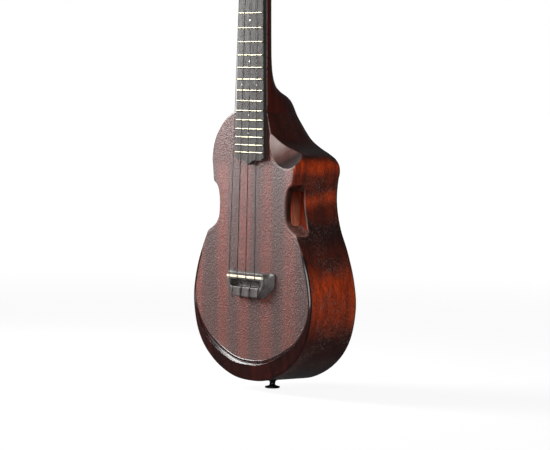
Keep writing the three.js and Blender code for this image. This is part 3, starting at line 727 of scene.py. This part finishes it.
def scoop_ball(x, depth, z):
    d2 = (x - SCOOP["x"]) ** 2 + (depth + SCOOP["above"]) ** 2 + (z - SCOOP["z"]) ** 2
    return np.sqrt(d2) - SCOOP["radius"]


SEAM = PLATE + 0.06  # the top's and back's finish ends this deep, just past the plates
PORT_LIP = 0.9
SCOOP_LIP = 0.25
TOP_INSET = 1.1  # the gloss of the sides runs over the edge of the top by this much


def port_notch(x, depth, z):
    plan = PORT_PLAN(np.abs(x), z)
    return both(plan, depth - PORT_DEPTH, 5.0)


def body_hollow(x, depth, z):
    """The air inside: the hollow between the plates and the mouths of the two ports."""
    shrunk = outline(x, depth, z) + RIB
    slab = np.maximum(PLATE - depth, depth - (BODY_DEPTH - PLATE))
    hollow = np.maximum(shrunk, slab)
    hollow = np.maximum(hollow, SCOOP["wall"] - scoop_ball(x, depth, z))
    frame_wall = np.maximum(PORT_PLAN(np.abs(x), z) - 4.5, depth - PORT_DEPTH)
    hollow = np.maximum(hollow, -frame_wall)
    ax = np.abs(x)
    mouth = np.maximum(np.maximum(40 - ax, ax - 61), np.maximum(171 - z, z - 206))
    mouth = both(mouth, np.maximum(7.1 - depth, depth - 24), 2.0)
    return np.minimum(hollow, mouth)


def body_outside(x, depth, z):
    side = outline(x, depth, z)
    edge = np.interp(z, [120, 165, 262, 282], [1.6, 2.2, 2.2, 0.5])
    form = both(side, -depth, edge)
    form = both(form, depth - BODY_DEPTH, 3.0)
    form = without(form, port_notch(x, depth, z), 2.4)
    form = without(form, scoop_ball(x, depth, z), 1.0)
    return both(form, z - BODY_TOP, 0.1)


def body_field(x, y, z):
    depth = y - FACE_Y
    return np.maximum(body_outside(x, depth, z), -body_hollow(x, depth, z))


def cut(bm, field):
    """Splits edges and faces along the field's zero level."""
    coordinates = np.array([v.co[:] for v in bm.verts])
    value = np.broadcast_to(field(*coordinates.T), len(coordinates))
    value = np.where(np.abs(value) < 1e-4, 0, value)
    bm.verts.index_update()
    new = []
    for edge in list(bm.edges):
        a, b = edge.verts
        fa, fb = value[a.index], value[b.index]
        if fa * fb < 0:
            _, vertex = bmesh.utils.edge_split(edge, a, fa / (fa - fb))
            new.append(vertex)
    zero = [v for v, f in zip(list(bm.verts), value) if f == 0]
    bmesh.ops.connect_verts(bm, verts=new + zero)
    bm.verts.index_update()


def build_body():
    low, high = (-101, FACE_Y - 2, 7), (101, 33, 289)
    points, faces = carve(body_field, low, high, GRID)
    mesh = bpy.data.meshes.new("body")
    mesh.from_pydata(points.tolist(), [], faces.tolist())
    bm = bmesh.new()
    bm.from_mesh(mesh)
    bpy.data.meshes.remove(mesh)
    cut(bm, lambda x, y, z: y - (FACE_Y + SEAM))
    cut(bm, lambda x, y, z: y + (FACE_Y + SEAM))
    cut(bm, lambda x, y, z: outline(x, y - FACE_Y, z) + TOP_INSET)
    cut(bm, lambda x, y, z: x)
    cut(bm, lambda x, y, z: scoop_ball(x, y - FACE_Y, z) - SCOOP_LIP)
    cut(bm, lambda x, y, z: port_notch(x, y - FACE_Y, z) - PORT_LIP)
    bmesh.ops.triangulate(bm, faces=[f for f in bm.faces if len(f.verts) > 4])
    bm.verts.index_update()
    points = np.array([v.co[:] for v in bm.verts])
    faces = [[v.index for v in f.verts] for f in bm.faces]
    normals = np.array([v.normal[:] for v in bm.verts])
    bm.free()
    centre = np.array([points[f].mean(0) for f in faces])
    x, depth, z = centre[:, 0], centre[:, 1] - FACE_Y, centre[:, 2]
    inside = body_hollow(x, depth, z) < 0.12
    in_scoop = (scoop_ball(x, depth, z) < SCOOP_LIP) & ~inside
    is_top = (depth < SEAM) & (outline(x, depth, z) < -TOP_INSET)
    is_back = depth > BODY_DEPTH - SEAM
    in_port = (port_notch(x, depth, z) < PORT_LIP) & ~inside & ~in_scoop
    outer = ~inside & ~in_scoop & ~in_port
    between = outer & ~is_top & ~is_back
    parts = [
        ("soundboard_satin", is_top & outer, "top", "top_wood", ["soundboard"]),
        ("back_bookmatched", is_back & outer, "back", "side_wood", ["back_plate"]),
        ("scoop_bowl", in_scoop, "scoop", "scoop_wood", ["cutaway_scoop"]),
    ]
    halves = (("bass", x < 0), ("treble", x > 0))
    for side, half in halves:
        parts.append((f"port_{side}_carving", in_port & half, "port", "side_wood", []))
    for side, half in halves:
        parts.append((f"side_{side}", between & half, "side", "side_wood", [f"rib_{side}"]))
    for side, half in halves:
        parts.append((f"inside_{side}", inside & half, "inner", "inner_wood", [f"lining_top_{side}"]))
    for name, chosen, material, slot, nodes in parts:
        mine = [faces[i] for i in np.flatnonzero(chosen)]
        used = np.unique(np.concatenate([np.array(f) for f in mine]))
        renumber = np.full(len(points), -1)
        renumber[used] = np.arange(len(used))
        own = [[renumber[i] for i in f] for f in mine]
        piece(name, points[used], own, M[material], slot, replaces=nodes, normals=normals[used])


def build_back_strip():
    """The flat strip glued inside over the back's centre joint."""
    y = FACE_Y + BODY_DEPTH - PLATE
    rings = []
    for z in np.linspace(22, 262, 9):
        rings.append([(-7.5, y + 0.2, z), (-6.9, y - 1.6, z), (6.9, y - 1.6, z), (7.5, y + 0.2, z)])
    o = piece("back_joint_strip", *strip(rings), M["strip"], "inner_wood", flat=True)
    bevel(o, 0.5)


# ---------- moulded rim ----------

RIM_TOP = 156


def build_rim():
    """The raised rim: a bead up the sides that grows into a wide bevel round the bottom."""
    loop = LOOPS[0]
    low = np.flatnonzero(loop[:, 1] < RIM_TOP)
    along = loop[low[0] : low[-1] + 1][::2]
    rings = []
    for i, p in enumerate(along):
        before, after = along[max(i - 1, 0)], along[min(i + 1, len(along) - 1)]
        t = (after - before) / np.linalg.norm(after - before)
        inward = np.array([t[1], -t[0]])
        f = np.clip((104 - p[1]) / 92 if p[0] < 0 else (90 - p[1]) / 80, 0, 1)
        fade = f * f * (3 - 2 * f)
        up = np.clip((p[1] - 132) / (RIM_TOP - 132), 0, 1)
        sink = 1.1 * up * up
        ridge = 1.9 + 14.6 * fade
        rise = 0.35 + 3.05 * fade
        profile = [
            (-0.10, 2.2), (-0.12, 1.5), (0.15, 0.65), (0.75, 0.10 - 0.2 * fade),
            (0.30 * ridge + 0.6, -0.12 - 0.30 * rise), (0.72 * ridge, -0.08 - 0.72 * rise),
        ]
        crest = [
            (-0.45, -0.97 * rise), (-0.05, -rise - 0.02), (0.22, -0.86 * rise), (0.36, -0.45 * rise),
            (0.55, -0.12 * rise - 0.02), (0.9, -0.08), (1.0 + 0.8 * fade, -0.07),
            (1.1 + 1.2 * fade, -0.07 - 0.10 * fade), (1.2 + 1.6 * fade, -0.07), (1.7 + 3.0 * fade, -0.04),
        ]
        profile += [(ridge + s, d) for s, d in crest]
        profile = np.vstack([(0.9, 2.2), smooth(profile, 3), (profile[-1][0], 0.6)]) + sink
        rings.append([(p[0] + inward[0] * s, FACE_Y + d, p[1] + inward[1] * s) for s, d in profile])
    piece("rim_moulding", *strip(rings), M["rim"], "rim_wood", replaces=["lower_rim"])


# ---------- neck and headstock ----------

NECK_PROFILE = [
    (BODY_TOP, 52.5), (292.5, 48.9), (297, 45.5), (301.5, 39.5), (305.5, 31.5), (311.5, 23.6),
    (322, 18.5), (338, 16), (357, 15.4), (430, 14.8), (485.5, 14.6), (497.5, 15.6), (502.2, 15.2),
    (509.5, 12.6),
]
HEAD_HALF = [
    (17.2, 0), (18.6, 12), (25, 23), (29, 34), (28, 62), (27, 92), (28.5, 108), (22, 116.5),
    (9, 118), (0, 121.5),
]
POSTS = [
    {"name": "g", "side": -1, "z": 40, "slot": -0.5, "gauge": 0.62},
    {"name": "c", "side": -1, "z": 82, "slot": -1 / 6, "gauge": 0.95},
    {"name": "e", "side": 1, "z": 82, "slot": 1 / 6, "gauge": 0.82},
    {"name": "a", "side": 1, "z": 40, "slot": 0.5, "gauge": 0.7},
]
head_half = smooth(HEAD_HALF, 8)
HEAD_LOOP = np.vstack([head_half, (head_half * [-1, 1])[::-1][1:]])
HEAD_PLAN = Plan(HEAD_LOOP)
NECK_LINE = smooth(NECK_PROFILE, 12)


def board_width(z):
    return NUT_WIDTH + BOARD_TAPER * (NUT_Z - z)


def neck_field(x, y, z):
    depth = y - FACE_Y
    half = np.minimum(board_width(z), HEEL_WIDTH) / 2
    deep = np.interp(z, NECK_LINE[:, 0], NECK_LINE[:, 1])
    shaft = (np.sqrt((x / half) ** 2 + (depth / deep) ** 2) - 1) * np.minimum(half, deep)
    shaft = both(shaft, z - (NUT_Z + 12), 3.0)
    shaft = shaft + 0.3 * (z < BODY_TOP)
    shaft = both(shaft, BODY_TOP - 3 - z, 0.1)
    hy = depth * TILT_COS - (z - NUT_Z) * TILT_SIN
    hz = depth * TILT_SIN + (z - NUT_Z) * TILT_COS
    plan = HEAD_PLAN(x, hz)
    head = both(plan, hy - HEAD_THICKNESS, 2.5)
    head = both(head, -hy, 0.3)
    form = either(shaft, head, 9.0)
    side = np.interp(z - NUT_Z, [0, 12, 24, 34], [NUT_WIDTH / 2, 19.2, 26, 31])
    side = np.where(z < NUT_Z, board_width(z) / 2, side)
    form = np.where(z > NUT_Z - 60, both(form, np.abs(x) - side, 0.6), form)
    ramp = np.minimum((z - NUT_Z - NUT_BACK) * 0.8, (z - NUT_Z) * math.tan(HEAD_TILT))
    form = np.maximum(form, np.maximum(ramp, 0) - depth)
    for post in POSTS:
        hole = POST_HOLE - np.sqrt((x - post["side"] * POST_X) ** 2 + (hz - post["z"]) ** 2)
        form = both(form, hole, 0.25)
    return form


def build_neck():
    low, high = (-31, FACE_Y - 1.5, 281), (31, 38, 619)
    shape = carve(neck_field, low, high, GRID)
    piece("neck_and_head", *shape, M["neck"], "neck_wood", replaces=["neck"])


def build_head_plate():
    """The veneer on the headstock's face, from the back of the nut to the tip, with a hole per post."""
    low = NUT_BACK + 0.1
    half = np.interp(low, head_half[:, 1], head_half[:, 0])
    rim = [(half, low), *HEAD_LOOP[HEAD_LOOP[:, 1] > low + 0.5], (-half, low)]
    turn = np.linspace(0, 2 * math.pi, 32, endpoint=False)
    circle = POST_HOLE * np.stack([np.cos(turn), np.sin(turn)], 1)
    holes = [circle + [post["side"] * POST_X, post["z"]] for post in POSTS]
    curve = bpy.data.curves.new("head_plate_outline", "CURVE")
    curve.dimensions = "2D"
    curve.fill_mode = "BOTH"
    curve.bevel_depth = 0.35
    curve.offset = -curve.bevel_depth
    curve.extrude = HEAD_PLATE / 2 - curve.bevel_depth
    for loop in [rim, *holes]:
        spline = curve.splines.new("POLY")
        spline.points.add(len(loop) - 1)
        for point, (x, z) in zip(spline.points, loop):
            point.co = (x, z, 0, 1)
        spline.use_cyclic_u = True
    slab = bpy.data.meshes.new_from_object(bpy.data.objects.new("head_plate_outline", curve))
    points = np.array([v.co for v in slab.vertices])[:, [0, 2, 1]] - [0, HEAD_PLATE / 2, 0]
    faces = outward(points, [list(f.vertices) for f in slab.polygons])
    place = from_head(points)
    piece("head_plate_veneer", place, faces, M["board"], "board_wood", replaces=["head_plate"], flat=True)


# ---------- bridge, saddle, frets, dots ----------

BRIDGE_HEIGHT = 9
BRIDGE_X = 2.4  # the bridge is glued a little to the treble side
FOOT = [(-40, 5), (40, 5), (38.5, -9.5), (22.5, -21.5), (-22.5, -21.5), (-38.5, -9.5)]
CREST = [(-30.6, 4.4), (30.6, 4.4), (30.6, -7.5), (19, -20.4), (-19, -20.4), (-30.6, -7.5)]
SADDLE_HALF = 29.6
TROUGH_LOW = -10.6
STRING_HEIGHT = 12
SADDLE_TOP = FACE_Y - STRING_HEIGHT + 0.4
NUT_SPREAD = 27
SADDLE_SPREAD = 43
TIE_HOLE_Y = FACE_Y - 4.6


def rounded_loop(points, radius):
    """A polygon with its corners rounded by arcs."""
    p = np.array(points, float)
    out = []
    for i in range(len(p)):
        a, b, c = p[i - 1], p[i], p[(i + 1) % len(p)]
        u = (a - b) / np.linalg.norm(a - b)
        v = (c - b) / np.linalg.norm(c - b)
        half = math.acos(np.clip(np.dot(u, v), -1, 1)) / 2
        reach = min(radius / math.tan(half), 0.45 * min(np.linalg.norm(a - b), np.linalg.norm(c - b)))
        start, end = b + u * reach, b + v * reach
        for t in np.linspace(0, 1, 5):
            out.append((1 - t) ** 2 * start + 2 * t * (1 - t) * b + t**2 * end)
    return np.array(out)


FOOT_PLAN = Plan(rounded_loop(FOOT, 4), 8)
CREST_PLAN = Plan(rounded_loop(CREST, 5), 12)
TROUGH_PLAN = Plan(rounded_loop([(-26, -3.2), (26, -3.2), (26, TROUGH_LOW), (-26, TROUGH_LOW)], 3.2), 8)


def bridge_field(x, y, z):
    up, zs = FACE_Y - y, z - SADDLE_Z
    across, x = x, x - BRIDGE_X
    share = np.clip((up - 1.6) / (BRIDGE_HEIGHT - 1.6), 0, 1)
    dish = share**0.75
    flank = FOOT_PLAN(x, zs) * (1 - dish) + CREST_PLAN(x, zs) * dish
    form = both(flank, up - BRIDGE_HEIGHT, 0.7)
    form = np.maximum(form, 0.05 - up)
    slot = np.maximum(np.maximum(np.abs(x) - SADDLE_HALF - 0.2, np.abs(zs) - 1.5), BRIDGE_HEIGHT - 4 - up)
    form = without(form, slot, 0.25)
    trough = both(TROUGH_PLAN(x, zs), 2.6 - up, 1.2)
    form = without(form, trough, 0.5)
    for post in POSTS:
        hole = np.sqrt((across - post["slot"] * SADDLE_SPREAD) ** 2 + (y - TIE_HOLE_Y) ** 2) - 1.1
        form = without(form, np.maximum(hole, zs + 8), 0.25)
    return form


def build_bridge():
    low, high = (-43, FACE_Y - 10, SADDLE_Z - 23), (43, FACE_Y + 0.6, SADDLE_Z + 6.5)
    shape = carve(bridge_field, low, high, 0.5 * FINE)
    piece("bridge_carved", *shape, M["bridge"], "bridge_wood", replaces=["bridge"])
    rings = []
    for s in np.linspace(-1, 1, 25):
        x = BRIDGE_X + SADDLE_HALF * s
        top = SADDLE_TOP + 0.9 * s * s + (0.5 if abs(s) > 0.99 else 0)
        ring = [(x, FACE_Y - BRIDGE_HEIGHT + 3.8, SADDLE_Z - 1.3), (x, top + 1.0, SADDLE_Z - 1.3)]
        ring += [(x, top + 0.3, SADDLE_Z - 1.05), (x, top, SADDLE_Z - 0.4), (x, top, SADDLE_Z + 0.3)]
        ring += [(x, top + 0.35, SADDLE_Z + 1.0), (x, top + 1.0, SADDLE_Z + 1.3)]
        rings.append([*ring, (x, FACE_Y - BRIDGE_HEIGHT + 3.8, SADDLE_Z + 1.3)])
    piece("saddle_shaped", *strip(rings), M["bone"], "bone", replaces=["saddle"])


def fret_z(n):
    return SADDLE_Z + SCALE_LENGTH * 2 ** (-n / 12)


def build_frets():
    arc = [(0.85 * math.cos(a), math.sin(a)) for a in np.linspace(math.pi, 0, 9)]
    for n in range(1, 20):
        z = fret_z(n)
        half = board_width(z) / 2 - 0.12
        rings = []
        for s in np.concatenate([[-1, -0.985, -0.96], np.linspace(-0.9, 0.9, 13), [0.96, 0.985, 1]]):
            x = half * s
            base = FACE_Y - BOARD_THICKNESS + x * x / (2 * BOARD_RADIUS)
            height = 1.1 * min(1, 0.25 + 5 * math.sqrt(1 - abs(s)))
            ring = [(x, base - height * h, z + w) for w, h in arc]
            rings.append([(x, base + 0.35, z - 0.75), *ring, (x, base + 0.35, z + 0.75)])
        name = f"fret_{n:02d}"
        piece(f"{name}_crown", *strip(rings), M["fret"], "fret_metal", replaces=[name])


def build_dots():
    places = [(5, 0), (7, 0), (10, 0), (12, -12), (12, 12), (15, 0), (17, 0)]
    for n, x in places:
        z = (fret_z(n) + fret_z(n - 1)) / 2
        y = FACE_Y - BOARD_THICKNESS + x * x / (2 * BOARD_RADIUS)
        profile = [(0.001, 0.3), (1.05, 0.3), (1.05, -0.02), (0.95, -0.05), (0.001, -0.06)]
        side = {-12: "_bass", 12: "_treble", 0: ""}[x]
        piece(f"dot_{n}{side}", *lathe(profile, 20, "y", (x, y, z)), M["dot"], "bone")
    for n in (5, 7, 10, 12, 15):
        z = (fret_z(n) + fret_z(n - 1)) / 2
        x = -board_width(z) / 2
        profile = [(0.001, 0.3), (0.9, 0.3), (0.9, -0.02), (0.001, -0.04)]
        shape = lathe(profile, 14, "x", (x, FACE_Y - BOARD_THICKNESS / 2, z))
        piece(f"side_dot_{n}", *shape, M["dot"], "bone")


# ---------- strings ----------

WRAP_TURNS = 1.75


def tube(name, line, radius, material, replaces):
    curve = bpy.data.curves.new(name, "CURVE")
    curve.dimensions = "3D"
    curve.bevel_depth = radius * MM
    curve.bevel_resolution = 2
    curve.use_fill_caps = True
    spline = curve.splines.new("POLY")
    spline.points.add(len(line) - 1)
    for point, p in zip(spline.points, line):
        point.co = (*(np.asarray(p) * MM), 1)
    dress(add_object(name, curve), material, ROOT, replaces)


def string_line(post):
    r = post["gauge"] / 2
    low, high = post["slot"] * SADDLE_SPREAD, post["slot"] * NUT_SPREAD
    over_saddle = SADDLE_TOP + 0.9 * (low / 31) ** 2 - r - 0.05
    nut_top = FACE_Y - BOARD_THICKNESS - 1.9
    over_nut = nut_top + 0.8 - r - 0.05
    back, front = SADDLE_Z - 20, SADDLE_Z + TROUGH_LOW
    block = FACE_Y - BRIDGE_HEIGHT - r - 0.1
    tail = [
        (0.6, TIE_HOLE_Y, front), (0.3, TIE_HOLE_Y + 0.2, front - 4), (0, TIE_HOLE_Y, back - 1.2),
        (0.6, TIE_HOLE_Y - 0.8, back - 1.9 - r), (1.5, (TIE_HOLE_Y + block) / 2, back - 1.5 - r),
        (2.3, block + 0.6, back - 0.6 - r), (2.5, block, back + 0.8), (2.6, block - 0.05, back + 5),
        (3.1, block, front - 1.0), (3.2, block + 0.5, front + 0.1), (2.8, block + 2.0, front + 0.9),
        (1.4, TIE_HOLE_Y - 1.4, front + 1.3), (-0.2, TIE_HOLE_Y - 0.4, front + 1.4),
        (0.8, TIE_HOLE_Y - 1.2, front + 2.2), (1.0, (TIE_HOLE_Y + over_saddle) / 2, SADDLE_Z - 5.5),
        (0.1, over_saddle + 0.9, SADDLE_Z - 2.2), (0, over_saddle + 0.1, SADDLE_Z - 0.9),
        (0, over_saddle, SADDLE_Z + 0.8),
    ]
    bottom = np.array([low, over_saddle, SADDLE_Z])
    top = np.array([high, over_nut, NUT_Z])
    free = [bottom + (top - bottom) * t for t in (0.05, 0.25, 0.5, 0.75, 0.95)]
    nut_end = top + [0, 0.25, 4.8]
    start = 0 if post["side"] < 0 else math.pi
    share = np.linspace(0, 1, 41)
    angle = start - post["side"] * WRAP_TURNS * 2 * math.pi * share
    around = POST_NECK + r + 0.1
    x = post["side"] * POST_X + around * np.cos(angle)
    y = -HEAD_PLATE - 5.9 + 2.9 * share
    wraps = from_head(np.stack([x, y, post["z"] + around * np.sin(angle)], 1))
    lead = [nut_end + (wraps[0] - nut_end) * t for t in (0.4, 0.8, 0.96)]
    route = [*(np.array(tail) + [low, 0, 0]), *free, top + [0, 0, 0.2], nut_end, *lead]
    return np.vstack([smooth(route, 6), wraps])


def build_strings():
    for post in POSTS:
        name = f"string_{post['name']}"
        tube(f"{name}_nylon", string_line(post), post["gauge"] / 2, M["string"], [name])


# ---------- tuners ----------

GEAR_Y = HEAD_THICKNESS + 4.8
WORM_OFFSET = 7.1


def head_piece(name, shape, post, body=ROOT, replaces=()):
    """A metal piece of the tuner at a post."""
    points, faces = shape
    place = from_head(points + [post["side"] * POST_X, 0, post["z"]])
    piece(name, place, faces, M["black"], "tuner_metal", body, replaces)


def post_shape():
    tip, end = -HEAD_PLATE - 8.6, GEAR_Y - 2.2
    profile = [
        (0.001, tip), (2.5, tip), (2.9, tip + 0.15), (3.1, tip + 0.5), (3.1, tip + 1.9),
        (2.9, tip + 2.3), (2.5, tip + 2.8), (2.42, tip + 4.4), (2.5, tip + 6), (3.0, tip + 6.6),
        (3.1, tip + 6.9), (3.1, end), (0.001, end),
    ]
    return lathe(profile, 32, "y")


def gear_shape():
    teeth = 14
    angle = 2 * math.pi * np.arange(teeth * 6) / (teeth * 6)
    edge = 4.15 + 0.28 * np.clip(1.6 * np.cos(teeth * angle), -1, 1)
    rings = []
    for y, less in ((-2.1, 0.25), (-1.8, 0), (1.8, 0), (2.1, 0.25)):
        r = edge - less
        rings.append(np.stack([r * np.cos(angle), 0 * angle + GEAR_Y + y, r * np.sin(angle)], 1))
    return strip(rings)


def worm_shape(side):
    """The key's shaft with its thread, lying along X."""
    angle = 2 * math.pi * np.arange(20) / 20
    rows = []
    for x in np.linspace(-5.2, 5.0, 70):
        edge = min(1, (5.3 - abs(x)) / 0.8)
        thread = np.clip(1.5 * np.cos(angle - 2 * math.pi * x / 1.9), -1, 1)
        rows.append((x, 1.95 + 0.28 * edge * thread))
    rows += [(5.3, 1.8), (12.4, 1.8), (12.9, 2.2), (13.3, 2.9), (13.7, 3.05), (16.5, 3.05), (17.4, 2.7)]
    rings = [np.stack([0 * angle + side * x, r * np.cos(angle), r * np.sin(angle)], 1) for x, r in rows]
    points, faces = strip(rings)
    return points + [0, GEAR_Y, WORM_OFFSET], faces


def button_field(x, y, z):
    """A soft-cornered oval button, waisted at its shaft."""
    u, v, w = y / 4.0, x / 7.2, z / 8.4
    form = ((np.abs(u) ** 2.6 + np.abs(v) ** 2.8 + np.abs(w) ** 2.6) ** (1 / 2.6) - 1) * 4.0
    dish = 26 - np.sqrt((np.abs(y) - 28.2) ** 2 + x**2 + z**2)
    return both(form, dish, 1.2)


def build_tuners():
    low, high = (-8.4, -5, -9.6), (8.4, 5, 9.6)
    button_points, button_faces = carve(button_field, low, high, 0.55 * FINE)
    for post in POSTS:
        n, side = post["name"], post["side"]
        head_piece(f"string_post_{n}", post_shape(), post, f"post_{n}", [f"tuner_post_{n}"])
        head_piece(f"gear_{n}", gear_shape(), post, f"post_{n}")
        head_piece(f"key_shaft_{n}", worm_shape(side), post, f"key_{n}")
        button = button_points + [side * 22.4, GEAR_Y, WORM_OFFSET]
        head_piece(f"key_button_{n}", (button, button_faces), post, f"key_{n}", [f"tuner_key_{n}"])
        face = -HEAD_PLATE
        bushing = [(3.3, 2.0), (3.3, face - 1.3), (3.6, face - 1.45), (5.0, face - 1.3)]
        bushing += [(5.4, face - 0.9), (5.5, face - 0.15), (4.2, face - 0.15), (4.2, 2.0)]
        head_piece(f"bushing_{n}", turned_ring(bushing, 36), post)
        screw = [(0.001, 0.0), (1.25, 0.0), (1.5, 0.35), (1.3, 0.8), (0.7, 1.05), (0.001, 1.1)]
        for i, z in enumerate((-4.9, 11.1)):
            place = (-side * 9.0, HEAD_THICKNESS + 0.05, z)
            head_piece(f"tuner_screw_{n}_{i + 1}", lathe(screw, 18, "y", place), post)
        ear = rounded_loop([(5, -6.4), (11.6, -6.4), (11.6, 12.6), (5, 12.6)], 2.2)
        rings = [[(-side * x, HEAD_THICKNESS + h, z) for x, z in ear] for h in (-0.02, 0.28)]
        head_piece(f"tuner_plate_{n}", strip(rings), post)
        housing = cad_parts[f"tuner_housing_{n}"]
        dress(housing, M["black"])
        bevel(housing, 0.45, 3)


def turned_ring(profile, sides):
    """A turned shape with a hole: a closed profile of (radius, place along Y)."""
    rings = []
    for i in range(sides):
        a = 2 * math.pi * i / sides
        rings.append([(r * math.cos(a), y, r * math.sin(a)) for r, y in profile])
    return strip(rings, closed_rows=True, caps=False)


def build_strap_button():
    profile = [
        (0.001, 0.35), (2.3, 0.35), (2.6, 0.05), (6.4, 0.0), (7.3, 0.25), (7.8, 0.8), (7.85, 1.2),
        (7.5, 1.9), (5.4, 2.35), (3.6, 3.0), (2.95, 4.0), (2.9, 5.6), (3.2, 6.9), (4.4, 7.9),
        (5.2, 8.5), (5.25, 9.3), (1.5, 9.3), (1.5, 24), (0.001, 27),
    ]
    shape = lathe(profile, 40)
    piece("strap_button_turned", *shape, M["button"], "button_metal", replaces=["strap_button"])


def dress_cad_nodes():
    """CAD nodes that stay as they are and only take a finish."""
    kept = [("fretboard", "board", "board_wood", 0.35), ("nut", "bone", "bone", 0.3)]
    for name in ("neck_block", "tail_block", "lining_back_bass", "lining_back_treble", "bridge_plate"):
        kept.append((name, "inner", "inner_wood", 0))
    for name in ("top_brace", "back_brace_upper", "back_brace_lower"):
        kept.append((name, "spruce", "spruce", 0))
    for name, material, slot, edge in kept:
        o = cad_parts[name]
        dress(o, M[material])
        if edge:
            bevel(o, edge)


# ---------- camera, light, floor ----------


def build_camera():
    data = bpy.data.cameras.new("camera")
    data.lens = 181.3
    data.sensor_width = 36
    data.clip_end = 60
    camera = add_object("camera", data)
    azimuth, elevation, roll = math.radians(52), math.radians(2.93), math.radians(0.864)
    right = Vector((math.cos(azimuth), math.sin(azimuth), 0))
    level = math.cos(elevation)
    back = Vector((math.sin(azimuth) * level, -math.cos(azimuth) * level, math.sin(elevation)))
    up = back.cross(right)
    turned = Matrix((right, up, back)).transposed() @ Matrix.Rotation(roll, 3, "Z")
    camera.matrix_world = Matrix.Translation((2.2476, -1.7558, 0.3147)) @ turned.to_4x4()
    bpy.context.scene.camera = camera


def look_from(place, target):
    z = (Vector(place) - Vector(target)).normalized()
    return Matrix.Translation(place) @ z.to_track_quat("Z", "Y").to_matrix().to_4x4()


def softbox(name, place, target, width, height, power):
    data = bpy.data.lights.new(name, "AREA")
    data.shape = "RECTANGLE"
    data.size = width
    data.size_y = height
    data.energy = power
    light = add_object(name, data)
    light.matrix_world = look_from(place, target)
    light.visible_camera = False


def build_studio():
    scene = bpy.context.scene
    scene.view_settings.view_transform = "Standard"
    world = bpy.data.worlds.new("studio")
    world.use_nodes = True
    tree = world.node_tree
    tree.nodes.clear()
    kinds = ("LightPath", "Background", "Background", "MixShader", "OutputWorld")
    path, room, seen, blend, out = [tree.nodes.new(f"ShaderNode{kind}") for kind in kinds]
    room.inputs["Color"].default_value = (0.04, 0.04, 0.042, 1)
    seen.inputs["Color"].default_value = (1, 1, 1, 1)
    sources = (path.outputs["Is Camera Ray"], room.outputs[0], seen.outputs[0])
    for source, socket in zip(sources, blend.inputs):
        tree.links.new(source, socket)
    tree.links.new(blend.outputs[0], out.inputs["Surface"])
    scene.world = world

    middle = (0, 0, 0.2)
    softbox("key", (-0.44, -0.33, 0.47), (-0.02, 0, 0.2), 0.28, 0.5, 8.6)
    softbox("fill", (2.4, -2.0, 0.9), middle, 1.4, 1.4, 24)
    softbox("front", (0.95, -2.25, 0.5), middle, 1.0, 1.2, 16)

    mesh = bpy.data.meshes.new("floor")
    reach, low = 20.0, -0.002
    corners = [(reach * a, reach * b, low) for a, b in ((-1, -1), (1, -1), (1, 1), (-1, 1))]
    mesh.from_pydata(corners, [], [(0, 1, 2, 3)])
    floor = add_object("floor", mesh)
    n = Nodes("floor")
    cloud = n.noise((3, 3, 3), 2.0, 0.5)
    shade = n.ramp(cloud, [(0.3, 0.88), (0.7, 0.91)])
    material = n.finish(shade, 0.9, Specular_IOR_Level=0.0)
    x, y, _ = n.split()
    away = n.math("SQRT", n.plus(n.times(x, x), n.times(y, y)))
    glow = n.add("ShaderNodeEmission", Strength=1.07)
    path = n.add("ShaderNodeLightPath")
    share = n.times(path.outputs["Is Camera Ray"], n.range(away, 0.5, 3.0, 0.86, 1.0))
    looks = n.add("ShaderNodeMixShader", Fac=share)
    n.set(looks.inputs[1], n.shader.outputs[0])
    n.set(looks.inputs[2], glow.outputs[0])
    n.set(n.tree.nodes["Material Output"].inputs["Surface"], looks.outputs[0])
    mesh.materials.append(material)
    floor.visible_glossy = False


build_body()
build_back_strip()
build_rim()
build_neck()
build_head_plate()
build_bridge()
build_frets()
build_dots()
build_strings()
build_tuners()
build_strap_button()
dress_cad_nodes()
build_camera()
build_studio()
